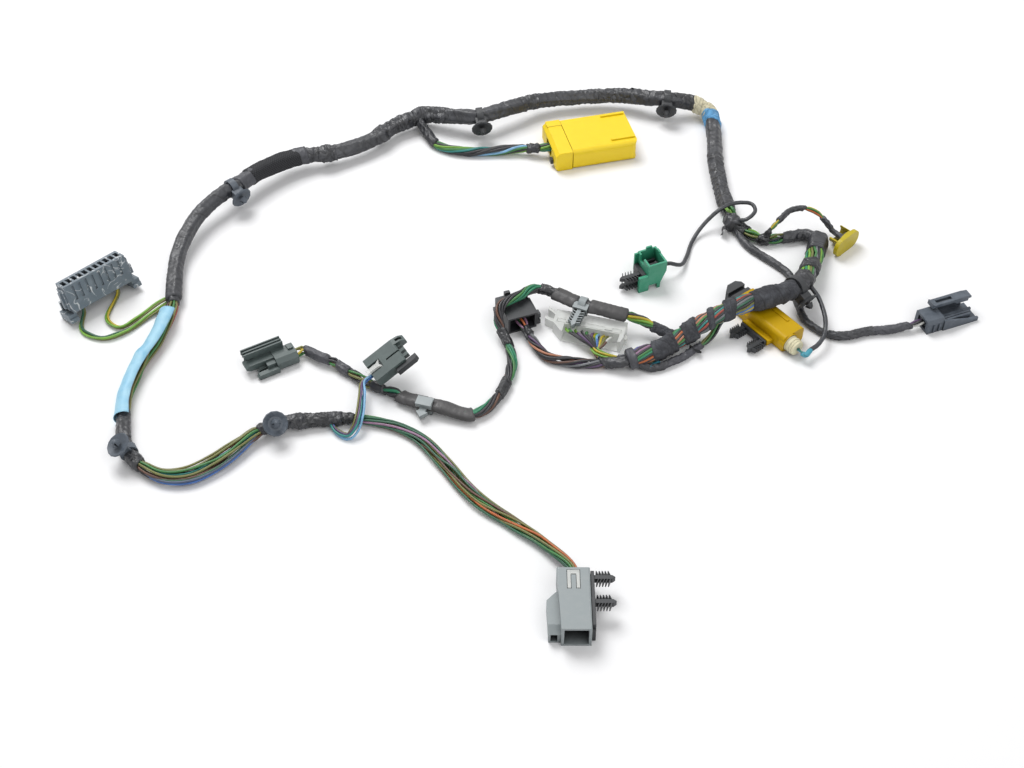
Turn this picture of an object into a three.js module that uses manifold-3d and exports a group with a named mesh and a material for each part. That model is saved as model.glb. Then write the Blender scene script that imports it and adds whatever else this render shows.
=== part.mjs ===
// Vehicle wiring harness, laid out on a flat surface.
// Taped bundles of wires link moulded plug connectors, and clips on the bundles fix it to a body.
// Millimetres, +Z up. The origin is the middle of the layout, on the surface.
// Each connector has a frame of its own: wires enter at x = 0, the mating end points along +X.

import * as THREE from "three";
import { mergeVertices } from "three/addons/utils/BufferGeometryUtils.js";
import Module from "manifold-3d";

const wasm = await Module();
wasm.setup();

// Gap between pieces that touch, and the straight run of a bundle before it enters a connector.
const CLEARANCE = 0.3;
const APPROACH = 7;
const OVERCUT = 1;

// Bundle diameters.
const TRUNK_LEFT = 10.5;
const TRUNK_BACK = 11;
const TRUNK_RIGHT = 13;
const LABEL_BUNDLE = 8.4;
const FRONT_BRANCH = 6.4;
const LEFT_BRANCH = 7;
const BLACK_BRANCH = 6.6;
const CLEAR_BRANCH = 5;
const REAR_LINK = 8;
const REAR_BRANCH = 4;
const RIGHT_BRANCH = 5.2;
const PARALLEL_BRANCH = 5;
const YELLOW_BRANCH = 7;
const GREEN_WIRE = 2.8;
const SEALED_WIRE = 3;
const PANEL_WIRES = 3.4;
const TEE_WIRES = 3.4;
const STEP_PER_DIAMETER = 1.7;
const THIN = 8;
const THIN_SIDES = 8;
const THICK_SIDES = 10;

// Coverings of a bundle: woven cloth tape and the paper label.
const CLOTH = { from: [-199, 135, 15], to: [-160, 168, 12], wall: 1.2 };
const LABEL = { from: [-236, -6, 6], to: [-248, -84, 5], wall: 0.8 };

// Disc clip: a tie strap, a buckle, a dished disc and a barbed pin, moulded in one.
const CLIP = {
  strapWidth: 4.8,
  strapThickness: 1.2,
  buckleLength: 8,
  buckleWidth: 7,
  buckleHeight: 2.8,
  windowWidth: 3.2,
  windowHeight: 1.4,
  discRadius: 8,
  discThickness: 1,
  discDrop: 1.5,
  hubRadius: 4.6,
  pinRadius: 1.5,
  pinNeck: 2.2,
  barbRadius: 3,
  barbLength: 4,
  slitWidth: 0.9,
  facets: 14,
};

// Fir tree fastener: a flat spine with swept fins on both edges.
const FIR = {
  length: 13,
  span: 8.4,
  spine: 2.8,
  thickness: 4,
  fins: 5,
  finThickness: 0.6,
  sweep: 1.1,
  neck: 2.2,
  tip: 1.8,
};

// Wide panel connector with end feet on a slide lock.
const PANEL = {
  width: 49,
  depth: 20,
  thickness: 12,
  slots: 11,
  slotPitch: 4.1,
  slotWidth: 2.6,
  slotHeight: 6.6,
  slotDepth: 7,
  grooves: 8,
  groovePitch: 5,
  grooveWidth: 1.5,
  grooveDepth: 0.9,
  grooveLength: 10.5,
  endRib: 1.4,
  step: 1.2,
  slideThickness: 2,
  slideRise: 6,
  footDrop: 6,
  footWidth: 6,
  earLength: 4,
};

// Large two-piece connector with a rear cover.
const YELLOW = {
  length: 63,
  width: 40,
  height: 16,
  coverLength: 13,
  wall: 1.8,
  socketDepth: 24,
  cornerRadius: 5,
  entryWidth: 13,
  entryHeight: 8,
  entryDepth: 6,
  railLength: 18,
  railWidth: 1.6,
  railHeight: 1.2,
  railInset: 4,
  tabSize: 4,
  tabDrop: 12,
  seatStep: 0.6,
};

// Slab connector with prongs on its mating edge and a white lock.
const TEE = {
  length: 23,
  width: 20,
  thickness: 7,
  slotLength: 10,
  slotWidth: 1.1,
  slotDepth: 2,
  lockWidth: 3.2,
  lockLength: 9,
  lockThickness: 1.4,
  lockHead: 6.6,
  prongLength: 3.4,
  prongWidth: 2.6,
  prongHeight: 3.2,
  prongPitch: 4.6,
  hookLength: 7,
  hookWidth: 5,
  fingerLength: 16,
  fingerWidth: 2.8,
  fingerReach: 7,
};

// Ribbed connector whose mating end is a set of open prongs.
const LEFT = {
  length: 33,
  width: 17,
  height: 9.6,
  backLength: 15,
  backWidth: 12,
  finHeight: 14.5,
  finWidth: 6,
  finStart: 6,
  ribs: 3,
  ribWidth: 0.9,
  prongGap: 1.6,
  lowerLength: 14,
};

// Box connector with an open wire side.
const BLACK = {
  length: 25,
  width: 20,
  height: 13,
  wall: 1.4,
  recess: 8,
  finHeight: 2,
  earReach: 3,
  earLength: 4.6,
  earHole: 1.6,
  sideRail: 1.6,
};

// Clear comb connector with a terminal lock bar.
const CLEAR = {
  depth: 19,
  width: 48,
  thickness: 10,
  wall: 1.2,
  teeth: 8,
  combDepth: 8,
  trayDepth: 7,
  armLength: 6,
  armWidth: 2.4,
  barThickness: 1.6,
};

// Sealed connector with a wire seal, a dark cap and two fir trees on its flange.
const SEALED = {
  length: 47,
  width: 18.4,
  offset: -3.6,
  height: 13,
  cornerRadius: 3,
  sealRadius: 5.6,
  sealLength: 8,
  sealSocket: 4,
  flangeStart: 9,
  flangeEnd: 33,
  flangeReach: 5,
  flangeThickness: 3,
  capLength: 13.5,
  capWidth: 15,
  capHeight: 11,
  firPitch: 16.4,
};

// Slim connector with a latch lever on top.
const RIGHT = {
  length: 39,
  width: 17,
  height: 10,
  backLength: 13,
  wall: 1.6,
  latchHeight: 14.5,
  latchWidth: 6.5,
  latchStart: 8,
  latchSlot: 12,
  latchGap: 1.6,
  prongs: 3,
};

// Upright connector, open at the top, on four feet, with two fir trees.
const GREEN = {
  width: 13.8,
  depth: 17.2,
  height: 22,
  footHeight: 4.5,
  footSize: 2.4,
  wall: 1.4,
  socketDepth: 13,
  shoulder: 14,
  taper: 4,
  portHeight: 11,
  portDepth: 1.1,
  notch: 5,
  lugReach: 6.4,
  lugHeight: 13,
  firPitch: 6.6,
  firHeight: 3.8,
  firThickness: 2.8,
  firShift: -1.5,
};

// Oval connector with a flange on its mating end.
const COVER = {
  depth: 15,
  width: 25,
  height: 14,
  flangeThickness: 3,
  cupStart: 2,
  cupWidth: 14,
  cupHeight: 10.5,
  cupShift: 3.2,
  wall: 1.4,
  openTop: 8,
};

// Hollow connector with a side rail and a clip carrier.
const FRONT = {
  length: 41,
  width: 18.8,
  mouthTaper: 2,
  height: 16.5,
  wall: 1.6,
  socketDepth: 23,
  railStart: 12.5,
  railEnd: 39,
  railReach: 5.8,
  railHeight: 11,
  railChamfer: 6,
  railWall: 1.4,
  pins: 4,
  pinPitch: 3.2,
  pinSize: 1,
  pinLength: 6,
  blockThickness: 3,
  lockStart: 1.6,
  lockLength: 12.5,
  lockWidth: 7,
  lockLeg: 1.9,
  lockDepth: 1.2,
  carrierThickness: 2,
  carrierLength: 36,
  carrierHeight: 6.4,
  carrierLevel: 11.4,
  firFirst: 4.4,
  firPitch: 16.2,
};

// Edge clip: a saddle round the bundle with an arrowhead.
const EDGE_CLIP = { length: 10.5, wall: 1, neck: 4.6, head: 7.6, reach: 7, thickness: 3.4 };

function plastic(color, roughness = 0.55) {
  return new THREE.MeshStandardMaterial({ color, roughness, metalness: 0 });
}

const MATERIALS = {
  wireTape: plastic(0x2e2f32, 0.6),
  wire: plastic(0x3f6b3a, 0.5),
  cloth: plastic(0x222326, 0.9),
  label: plastic(0x7db9d6, 0.7),
  slate: plastic(0x4d5359),
  grey: plastic(0x8c9093),
  greenGrey: plastic(0x59625f),
  black: plastic(0x232427),
  yellow: plastic(0xf0cf12, 0.45),
  amber: plastic(0xe2ae10, 0.45),
  green: plastic(0x2d8a62, 0.45),
  clear: plastic(0xe4e6e4, 0.3),
  cream: plastic(0xe0d3b4, 0.6),
};

// A closed geometry as a solid that can be joined and cut.
function solidOf(geometry) {
  const bare = geometry.index ? geometry.toNonIndexed() : geometry.clone();
  bare.deleteAttribute("normal");
  bare.deleteAttribute("uv");
  const merged = mergeVertices(bare, 1e-4);
  return new wasm.Manifold(
    new wasm.Mesh({
      numProp: 3,
      vertProperties: merged.attributes.position.array,
      triVerts: new Uint32Array(merged.index.array),
    }),
  );
}

// A solid as a geometry with flat faces.
function geometryOf(solid) {
  const mesh = solid.getMesh();
  const shared = new THREE.BufferGeometry();
  shared.setAttribute("position", new THREE.BufferAttribute(mesh.vertProperties, 3));
  shared.setIndex(new THREE.BufferAttribute(mesh.triVerts, 1));
  const flat = shared.toNonIndexed();
  flat.computeVertexNormals();
  return flat;
}

const join = (...solids) => solids.reduce((a, b) => a.add(b));
const cut = (body, ...tools) => tools.reduce((a, b) => a.subtract(b), body);
const moved = (solid, matrix) => solidOf(geometryOf(solid).applyMatrix4(matrix));
const radians = THREE.MathUtils.degToRad;

// A box between two opposite corners.
function box([x0, y0, z0], [x1, y1, z1]) {
  const geometry = new THREE.BoxGeometry(x1 - x0, y1 - y0, z1 - z0);
  return solidOf(geometry.translate((x0 + x1) / 2, (y0 + y1) / 2, (z0 + z1) / 2));
}

// A flat outline extruded along one axis, from one level to another. An outline along z
// holds (x, y) points, along y it holds (x, z) and along x it holds (y, z).
function prism(axis, outline, from, to) {
  const shape = new THREE.Shape(outline.map(([u, v]) => new THREE.Vector2(u, v)));
  const geometry = new THREE.ExtrudeGeometry(shape, { depth: to - from, bevelEnabled: false });
  if (axis === "y") {
    geometry.translate(0, 0, -to).rotateX(Math.PI / 2);
  } else {
    geometry.translate(0, 0, from);
    if (axis === "x") {
      const turn = new THREE.Matrix4().makeBasis(
        new THREE.Vector3(0, 1, 0),
        new THREE.Vector3(0, 0, 1),
        new THREE.Vector3(1, 0, 0),
      );
      geometry.applyMatrix4(turn);
    }
  }
  return solidOf(geometry);
}

// The outline of a rectangle, each corner an arc of the given radius or left sharp.
function roundedOutline([u0, v0], [u1, v1], [r00, r10, r11, r01]) {
  const quarter = Math.PI / 2;
  const path = new THREE.Path();
  const corner = (u, v, radius, start) => {
    if (radius > 0) path.absarc(u, v, radius, start, start + quarter, false);
    else path.lineTo(u, v);
  };
  path.moveTo(u0 + r00, v0);
  path.lineTo(u1 - r10, v0);
  corner(u1 - r10, v0 + r10, r10, -quarter);
  path.lineTo(u1, v1 - r11);
  corner(u1 - r11, v1 - r11, r11, 0);
  path.lineTo(u0 + r01, v1);
  corner(u0 + r01, v1 - r01, r01, quarter);
  path.lineTo(u0, v0 + r00);
  corner(u0 + r00, v0 + r00, r00, Math.PI);
  const points = path.getPoints(3).map((p) => [p.x, p.y]);
  return points.filter(([u, v], i) => {
    const [pu, pv] = points[(i + points.length - 1) % points.length];
    return Math.hypot(u - pu, v - pv) > 1e-6;
  });
}

// A turned profile of [radius, z] points about the z axis, from its top to its bottom.
function turned(profile, facets) {
  const points = profile.map(([r, z]) => new THREE.Vector2(r, z)).reverse();
  return solidOf(new THREE.LatheGeometry(points, facets).rotateX(Math.PI / 2));
}

// The fir tree fastener along +X, its root at x = 0, its fins in the xy plane.
function firTree(length = FIR.length, thickness = FIR.thickness) {
  const half = FIR.spine / 2;
  const pitch = (length - FIR.neck - FIR.tip - FIR.finThickness) / FIR.fins;
  const upper = [[0, half]];
  for (let i = 0; i < FIR.fins; i++) {
    const x = FIR.neck + (i + 0.5) * pitch;
    upper.push([x, half], [x - FIR.sweep, FIR.span / 2]);
    upper.push([x - FIR.sweep + FIR.finThickness, FIR.span / 2], [x + FIR.finThickness, half]);
  }
  upper.push([length - FIR.tip, half]);
  const lower = upper.map(([x, y]) => [x, -y]).reverse();
  return prism("z", [...upper, [length, 0], ...lower], -thickness / 2, thickness / 2);
}

// The group of a connector: where its wire end lies, the heading of its mating end in the
// plan, how far that end is lifted, and how far the connector is rolled about its own axis.
function station([x, y, z], heading, lift = 0, roll = 0) {
  const group = new THREE.Group();
  group.position.set(x, y, z);
  group.rotation.set(radians(roll), radians(-lift), radians(heading), "ZYX");
  group.updateMatrixWorld(true);
  return group;
}

// Adds a solid to a group as one named mesh.
function addPiece(group, name, solid, material) {
  const mesh = new THREE.Mesh(geometryOf(solid), material);
  mesh.name = name;
  group.add(mesh);
  return mesh;
}

// A place where wires enter a connector: the point of its face and the point of the approach.
function port(group, face, outward = [-1, 0, 0]) {
  const axis = new THREE.Vector3(...outward);
  const at = (distance) => {
    const local = new THREE.Vector3(...face).addScaledVector(axis, distance);
    return group.localToWorld(local).toArray();
  };
  return { end: at(CLEARANCE), approach: at(APPROACH) };
}

// A round bundle along a smooth curve through chosen points, with its envelope: the same
// tube, wider by the clearance, that cuts the seat of whatever touches it.
function bundle(points, diameter) {
  const curve = new THREE.CatmullRomCurve3(
    points.map((p) => new THREE.Vector3(...p)),
    false,
    "centripetal",
  );
  const sides = diameter < THIN ? THIN_SIDES : THICK_SIDES;
  const steps = Math.max(6, Math.ceil(curve.getLength() / (diameter * STEP_PER_DIAMETER)));
  const tube = (path, count, width) => {
    const shape = new THREE.Shape();
    for (let i = 0; i < sides; i++) {
      const angle = (2 * Math.PI * i) / sides;
      const x = (width / 2) * Math.cos(angle);
      const y = (width / 2) * Math.sin(angle);
      if (i === 0) shape.moveTo(x, y);
      else shape.lineTo(x, y);
    }
    return new THREE.ExtrudeGeometry(shape, {
      steps: count,
      extrudePath: path,
      bevelEnabled: false,
    });
  };
  const envelope = tube(curve, steps, diameter + 2 * CLEARANCE);
  return { curve, steps, diameter, tube, envelope, solid: solidOf(tube(curve, steps, diameter)) };
}

// Cuts a bundle back to the surfaces of the bundles that it leaves.
function seatOn(branch, ...hosts) {
  branch.solid = cut(branch.solid, ...hosts.map((host) => solidOf(host.envelope)));
  return branch;
}

// The bundle's clearance envelope, seen from the frame of a group.
function envelopeIn(group, host) {
  const toLocal = group.matrixWorld.clone().invert();
  return solidOf(host.envelope.clone().applyMatrix4(toLocal));
}

// The share of a bundle's length that lies nearest to a point.
function shareNear(host, point) {
  const target = new THREE.Vector3(...point);
  let best = 0;
  let least = Infinity;
  for (let i = 0; i <= 400; i++) {
    const distance = host.curve.getPointAt(i / 400).distanceTo(target);
    if (distance < least) {
      least = distance;
      best = i / 400;
    }
  }
  return best;
}

// The points just before a bundle's start and just after its end, for one that carries on.
function beyond(host, share, inset = 0) {
  const way = share === 0 ? -1 : 1;
  const tangent = host.curve.getTangentAt(share);
  const at = (distance) =>
    host.curve.getPointAt(share).addScaledVector(tangent, way * distance).toArray();
  return [at(CLEARANCE), at(CLEARANCE + host.diameter * 0.6 + inset)];
}

// A covering wrapped round a stretch of a bundle.
function covering(host, { from, to, wall }) {
  const shares = [shareNear(host, from), shareNear(host, to)].sort((a, b) => a - b);
  const whole = host.curve;
  class Stretch extends THREE.Curve {
    getPoint(t, target = new THREE.Vector3()) {
      return whole.getPointAt(shares[0] + (shares[1] - shares[0]) * t, target);
    }
  }
  const count = Math.ceil((shares[1] - shares[0]) * host.steps);
  const outer = host.tube(new Stretch(), count, host.diameter + 2 * (CLEARANCE + wall));
  return cut(solidOf(outer), solidOf(host.envelope));
}

// The group of a clip on a bundle: +X along the bundle, -Z the way that its pin points.
function clipStation(host, near, pin) {
  const share = shareNear(host, near);
  const along = host.curve.getTangentAt(share);
  const down = new THREE.Vector3(...pin);
  down.addScaledVector(along, -down.dot(along)).normalize();
  const up = down.clone().negate();
  const side = new THREE.Vector3().crossVectors(up, along);
  const group = new THREE.Group();
  group.position.copy(host.curve.getPointAt(share));
  group.quaternion.setFromRotationMatrix(new THREE.Matrix4().makeBasis(along, side, up));
  group.updateMatrixWorld(true);
  return group;
}

// A disc clip on a bundle, in one moulding.
function addDiscClip(root, name, host, near, pin, material) {
  const group = clipStation(host, near, pin);
  const c = CLIP;
  const outer = host.diameter / 2 + CLEARANCE + c.strapThickness;
  const strap = solidOf(
    new THREE.CylinderGeometry(outer, outer, c.strapWidth, 2 * c.facets).rotateZ(Math.PI / 2),
  );
  const seat = -outer - c.buckleHeight;
  const buckle = cut(
    box([-c.buckleLength / 2, -c.buckleWidth / 2, seat - 0.2], [c.buckleLength / 2, c.buckleWidth / 2, 0]),
    box(
      [-c.buckleLength, -c.windowWidth / 2, seat + c.windowHeight],
      [c.buckleLength, c.windowWidth / 2, seat],
    ),
  );
  const barbTop = seat - c.discThickness - c.pinNeck;
  const disc = turned(
    [
      [0, seat],
      [c.hubRadius, seat],
      [c.discRadius, seat - c.discDrop],
      [c.discRadius - c.discThickness * 0.6, seat - c.discDrop - c.discThickness * 0.8],
      [c.hubRadius, seat - c.discThickness],
      [c.pinRadius, seat - c.discThickness],
      [c.pinRadius, barbTop],
      [c.barbRadius, barbTop - 0.3],
      [c.pinRadius, barbTop - c.barbLength * 0.8],
      [0, barbTop - c.barbLength],
    ],
    c.facets,
  );
  const slit = box(
    [-c.barbRadius * 2, -c.slitWidth / 2, barbTop - c.barbLength * 0.7],
    [c.barbRadius * 2, c.slitWidth / 2, barbTop + 0.4],
  );
  const body = cut(join(strap, buckle, cut(disc, slit)), envelopeIn(group, host));
  addPiece(group, name, body, material);
  root.add(group);
}

// The wide panel connector: a slotted housing and the slide lock that carries its feet.
function panelConnector(at, heading, lift) {
  const group = station(at, heading, lift);
  const p = PANEL;
  const half = p.width / 2;
  const slots = [];
  for (let i = 0; i < p.slots; i++) {
    const y = (i - (p.slots - 1) / 2) * p.slotPitch;
    slots.push(
      box(
        [p.depth - p.slotDepth, y - p.slotWidth / 2, (p.thickness - p.slotHeight) / 2],
        [p.depth + OVERCUT, y + p.slotWidth / 2, (p.thickness + p.slotHeight) / 2],
      ),
    );
  }
  const grooves = [];
  for (let i = 0; i < p.grooves; i++) {
    const y = (i - (p.grooves - 1) / 2) * p.groovePitch;
    grooves.push(
      box(
        [p.depth - 1.6 - p.grooveLength, y - p.grooveWidth / 2, p.thickness - p.grooveDepth],
        [p.depth - 1.6, y + p.grooveWidth / 2, p.thickness + OVERCUT],
      ),
    );
  }
  // The end walls are stepped: a narrow cap at the mating edge and a rib below it.
  const body = join(
    box([0, -half + p.step, 0], [p.depth, half - p.step, p.thickness]),
    box([2, -half, 1.5], [p.depth - 3, half, p.thickness - 2.5]),
    box([3, -half - p.endRib, 4], [p.depth - 5, half + p.endRib, p.thickness - 5]),
  );
  const wirePocket = box([-OVERCUT, -half + 6, 3], [2, half - 6, p.thickness - 2]);
  addPiece(group, "panel_housing", cut(body, wirePocket, ...slots, ...grooves), MATERIALS.slate);

  const back = -CLEARANCE;
  const foot = (side) => {
    const inner = side * (half - 3);
    const outer = side * (half - 3 + p.footWidth);
    const [y0, y1] = [Math.min(inner, outer), Math.max(inner, outer)];
    return join(
      box([-p.footDrop, y0, back - p.slideThickness], [back, y1, p.thickness - 1]),
      box([-p.footDrop, y0, back - p.slideThickness], [-p.footDrop / 2, y1, p.thickness]),
    );
  };
  const strip = box(
    [-p.footDrop, -half - 1, back - p.slideThickness],
    [p.slideRise, half + 1, back],
  );
  const ear = box(
    [-1, -half - p.earLength - 1.5, back - p.slideThickness],
    [p.slideRise, -half - 1 + OVERCUT, back],
  );
  addPiece(group, "panel_slide_lock", join(strip, foot(1), foot(-1), ear), MATERIALS.slate);
  return group;
}

// The large connector: a rear cover over the wires and a front shell with an open mouth.
function yellowConnector(at, heading) {
  const group = station(at, heading);
  const p = YELLOW;
  const half = p.width / 2;
  const r = p.cornerRadius;
  const entry = box(
    [-OVERCUT, -p.entryWidth / 2, (p.height - p.entryHeight) / 2],
    [p.entryDepth, p.entryWidth / 2, (p.height + p.entryHeight) / 2],
  );
  const cover = prism("y", [
    [0, 2], [2, 0], [p.coverLength, 0], [p.coverLength, p.height], [3, p.height], [0, p.height - 3],
  ], -half, half);
  const lip = box([2, half - 7, p.height - OVERCUT], [p.coverLength, half, p.height + p.seatStep]);
  addPiece(group, "yellow_rear_cover", cut(join(cover, lip), entry), MATERIALS.yellow);

  const start = p.coverLength + CLEARANCE;
  const outline = roundedOutline([start, -half], [p.length, half], [0, r, 1.5, 0]);
  const section = roundedOutline([-half, 0], [half, p.height], [2.5, 1.5, 1.5, 4]);
  const shell = prism("z", outline, 0, p.height).intersect(
    prism("x", section, start - OVERCUT, p.length + OVERCUT),
  );
  const socket = box(
    [p.length - p.socketDepth, -half + p.wall, p.wall],
    [p.length + OVERCUT, half - p.wall, p.height - p.wall],
  );
  const rail = (y) =>
    box(
      [p.length - 1 - p.railLength, y - p.railWidth / 2, p.height - OVERCUT],
      [p.length - 1, y + p.railWidth / 2, p.height + p.railHeight],
    );
  const rails = [rail(half - p.railInset), rail(-half + p.railInset + 3)];
  const key = box(
    [p.length - p.socketDepth - OVERCUT, -2, p.height / 2 - 1.2],
    [p.length - p.socketDepth / 2, 2, p.height / 2 + 1.2],
  );
  addPiece(group, "yellow_housing", join(cut(join(shell, ...rails), socket), key), MATERIALS.yellow);

  const tab = box(
    [-p.tabSize / 2 - CLEARANCE, -p.tabDrop - p.tabSize / 2, 3],
    [-CLEARANCE, -p.tabDrop + p.tabSize / 2, 3 + p.tabSize],
  );
  addPiece(group, "yellow_lock_tab", tab, MATERIALS.black);
  return group;
}

// The slab connector: housing with prongs, the white lock on its wire side and a dark finger.
function teeConnector(at, heading, lift) {
  const group = station(at, heading, lift);
  const p = TEE;
  const half = p.width / 2;
  const top = p.thickness;
  const slab = prism("y", [
    [0, 1.5], [2, 0], [p.length, 0], [p.length, top - 1], [p.length - 1, top], [0, top],
  ], -half, half);
  const slot = box(
    [p.length - p.slotLength, -p.slotWidth / 2 - 1, top - p.slotDepth],
    [p.length + OVERCUT, p.slotWidth / 2 - 1, top + OVERCUT],
  );
  const prongs = [];
  for (const i of [-1, 0, 1]) {
    const y = i * p.prongPitch;
    prongs.push(
      box(
        [p.length - OVERCUT, y - p.prongWidth / 2, 1],
        [p.length + p.prongLength, y + p.prongWidth / 2, 1 + p.prongHeight],
      ),
    );
  }
  const hook = prism("y", [
    [p.length - OVERCUT, 0], [p.length + p.hookLength, 0], [p.length + p.hookLength, 3.4],
    [p.length + p.hookLength - 3, top - 1], [p.length - OVERCUT, top],
  ], half - p.hookWidth, half);
  const hookHole = box(
    [p.length + 1.5, half - p.hookWidth + 1.6, 2.6],
    [p.length + 5.5, half - 1.6, top + OVERCUT],
  );
  const bed = box(
    [-OVERCUT, -p.lockHead / 2 - CLEARANCE, top - p.lockThickness - CLEARANCE],
    [p.lockLength + CLEARANCE, p.lockHead / 2 + CLEARANCE, top + OVERCUT],
  );
  const wirePocket = box([-OVERCUT, -half + 2, 1.8], [1.2, half - 2, top - 2.8]);
  addPiece(
    group,
    "tee_housing",
    cut(join(slab, hook, ...prongs), slot, hookHole, bed, wirePocket),
    MATERIALS.greenGrey,
  );

  const neck = p.lockWidth / 2;
  const lock = prism("z", [
    [-2, -neck], [p.lockLength - 3, -neck], [p.lockLength, -p.lockHead / 2],
    [p.lockLength - 1.6, 0], [p.lockLength, p.lockHead / 2], [p.lockLength - 3, neck], [-2, neck],
  ], top - p.lockThickness, top + 0.4);
  addPiece(group, "tee_lock", lock, MATERIALS.clear);

  const side = -half - CLEARANCE;
  const reach = p.length + p.fingerReach;
  const finger = prism("z", [
    [reach - p.fingerLength, side], [reach - p.fingerLength, side - p.fingerWidth],
    [reach - 2, side - p.fingerWidth], [reach, side - p.fingerWidth + 1.4],
    [reach, side + 1], [p.length + CLEARANCE, side + 1], [p.length + CLEARANCE, side],
  ], 0.6, 5);
  addPiece(group, "tee_finger", finger, MATERIALS.black);
  return group;
}

// The pronged connector: a solid wire end, a ribbed upper fin and two lower prongs.
function leftConnector(at, heading) {
  const group = station(at, heading);
  const p = LEFT;
  const half = p.width / 2;
  const backEdge = half - p.backWidth;
  const back = join(
    prism("x", [
      [backEdge + 1, 0], [half - 2, 0], [half, 2], [half, p.height - 2.4], [half - 3, p.height],
      [backEdge, p.height], [backEdge, 1],
    ], 0, p.backLength),
    box([1, backEdge + 1, p.height - OVERCUT], [4.5, backEdge + 5.5, p.height + 1.2]),
  );
  const middle = prism("y", [
    [p.backLength - OVERCUT, 4], [p.length - 2, 4], [p.length + 1, 5.6], [p.length + 1, 7.2],
    [p.length - 1.5, 8.8], [p.backLength - OVERCUT, 8.8],
  ], backEdge - 1.6, 2.6);
  const lower = (y0, y1, reach) =>
    prism("y", [
      [p.backLength - OVERCUT, 0.8], [reach - 1.2, 0.8], [reach, 2.4], [reach - 1.2, 4.4],
      [p.backLength - OVERCUT, 5],
    ], y0, y1);
  const reach = p.backLength + p.lowerLength;
  const lowerProngs = [
    lower(1.4, 4.6, reach - 2),
    lower(4.6 + p.prongGap, half + 1.2, reach),
  ];
  const bridge = box([p.backLength - OVERCUT, 1, 4.2], [p.backLength + 6, half - 2, 7.4]);
  const web = box([p.finStart + 2, -half + 1, 4], [p.length - 6, backEdge + 1, p.finHeight - 4]);
  const fin = join(
    box([p.finStart, -half, p.finHeight - 5], [p.length - 2, -half + p.finWidth, p.finHeight - 1]),
    ...Array.from({ length: p.ribs }, (_, i) => {
      const y = -half + (i * (p.finWidth - p.ribWidth)) / (p.ribs - 1);
      return box([p.finStart, y, p.finHeight - 4], [p.length, y + p.ribWidth, p.finHeight]);
    }),
  );
  // Two channels run under the fin from the mating end.
  const channel = (z) =>
    box([p.backLength, -half - OVERCUT, z], [p.length + OVERCUT, -half + 3, z + 1.3]);
  const body = cut(join(back, middle, bridge, web, fin, ...lowerProngs), channel(5.4), channel(7.9));
  const mid = half - p.backWidth / 2;
  const pocket = box([-OVERCUT, mid - 4, 1], [1.6, mid + 4, p.height - 1]);
  addPiece(group, "left_housing", cut(body, pocket), MATERIALS.greenGrey);
  return group;
}

// The box connector: an open wire side, latch ears on one flank and a fin on top.
function blackConnector(at, heading) {
  const group = station(at, heading);
  const p = BLACK;
  const half = p.width / 2;
  const shell = prism("y", [
    [0, 0], [p.length, 0], [p.length, p.height - 2], [p.length - 2, p.height], [0, p.height],
  ], -half, half);
  const mouth = box(
    [-OVERCUT, -half + p.wall, p.wall],
    [p.recess, half - p.wall, p.height - p.wall],
  );
  const fin = box([p.length - 2.4, 0, p.height - 4], [p.length, 4, p.height + p.finHeight]);
  const sideRail = prism("z", [
    [6, half - OVERCUT], [p.length, half - OVERCUT], [p.length, half + p.sideRail], [10, half + 0.6],
    [6, half],
  ], 0, 3);
  const terminals = [-1, 0, 1].map((i) =>
    box([p.recess - OVERCUT, i * 4.6 - 1.2, 3], [p.recess + 3, i * 4.6 + 1.2, p.height - 3]),
  );
  addPiece(group, "black_housing", cut(join(shell, fin, sideRail), mouth, ...terminals), MATERIALS.black);

  const side = -half - CLEARANCE;
  const ear = (z) =>
    cut(
      box([1, side - p.earReach, z], [1 + p.earLength, side, z + 3.4]),
      box(
        [1 + (p.earLength - p.earHole) / 2, side - p.earReach + 1.4, z - OVERCUT],
        [1 + (p.earLength + p.earHole) / 2, side - 1.2, z + 3.4 + OVERCUT],
      ),
    );
  const spine = box([1, side - 1.2, 1.2], [p.length - 8, side, p.height - 1.6]);
  addPiece(group, "black_latch", join(spine, ear(1.2), ear(6.6)), MATERIALS.black);
  return group;
}

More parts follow.
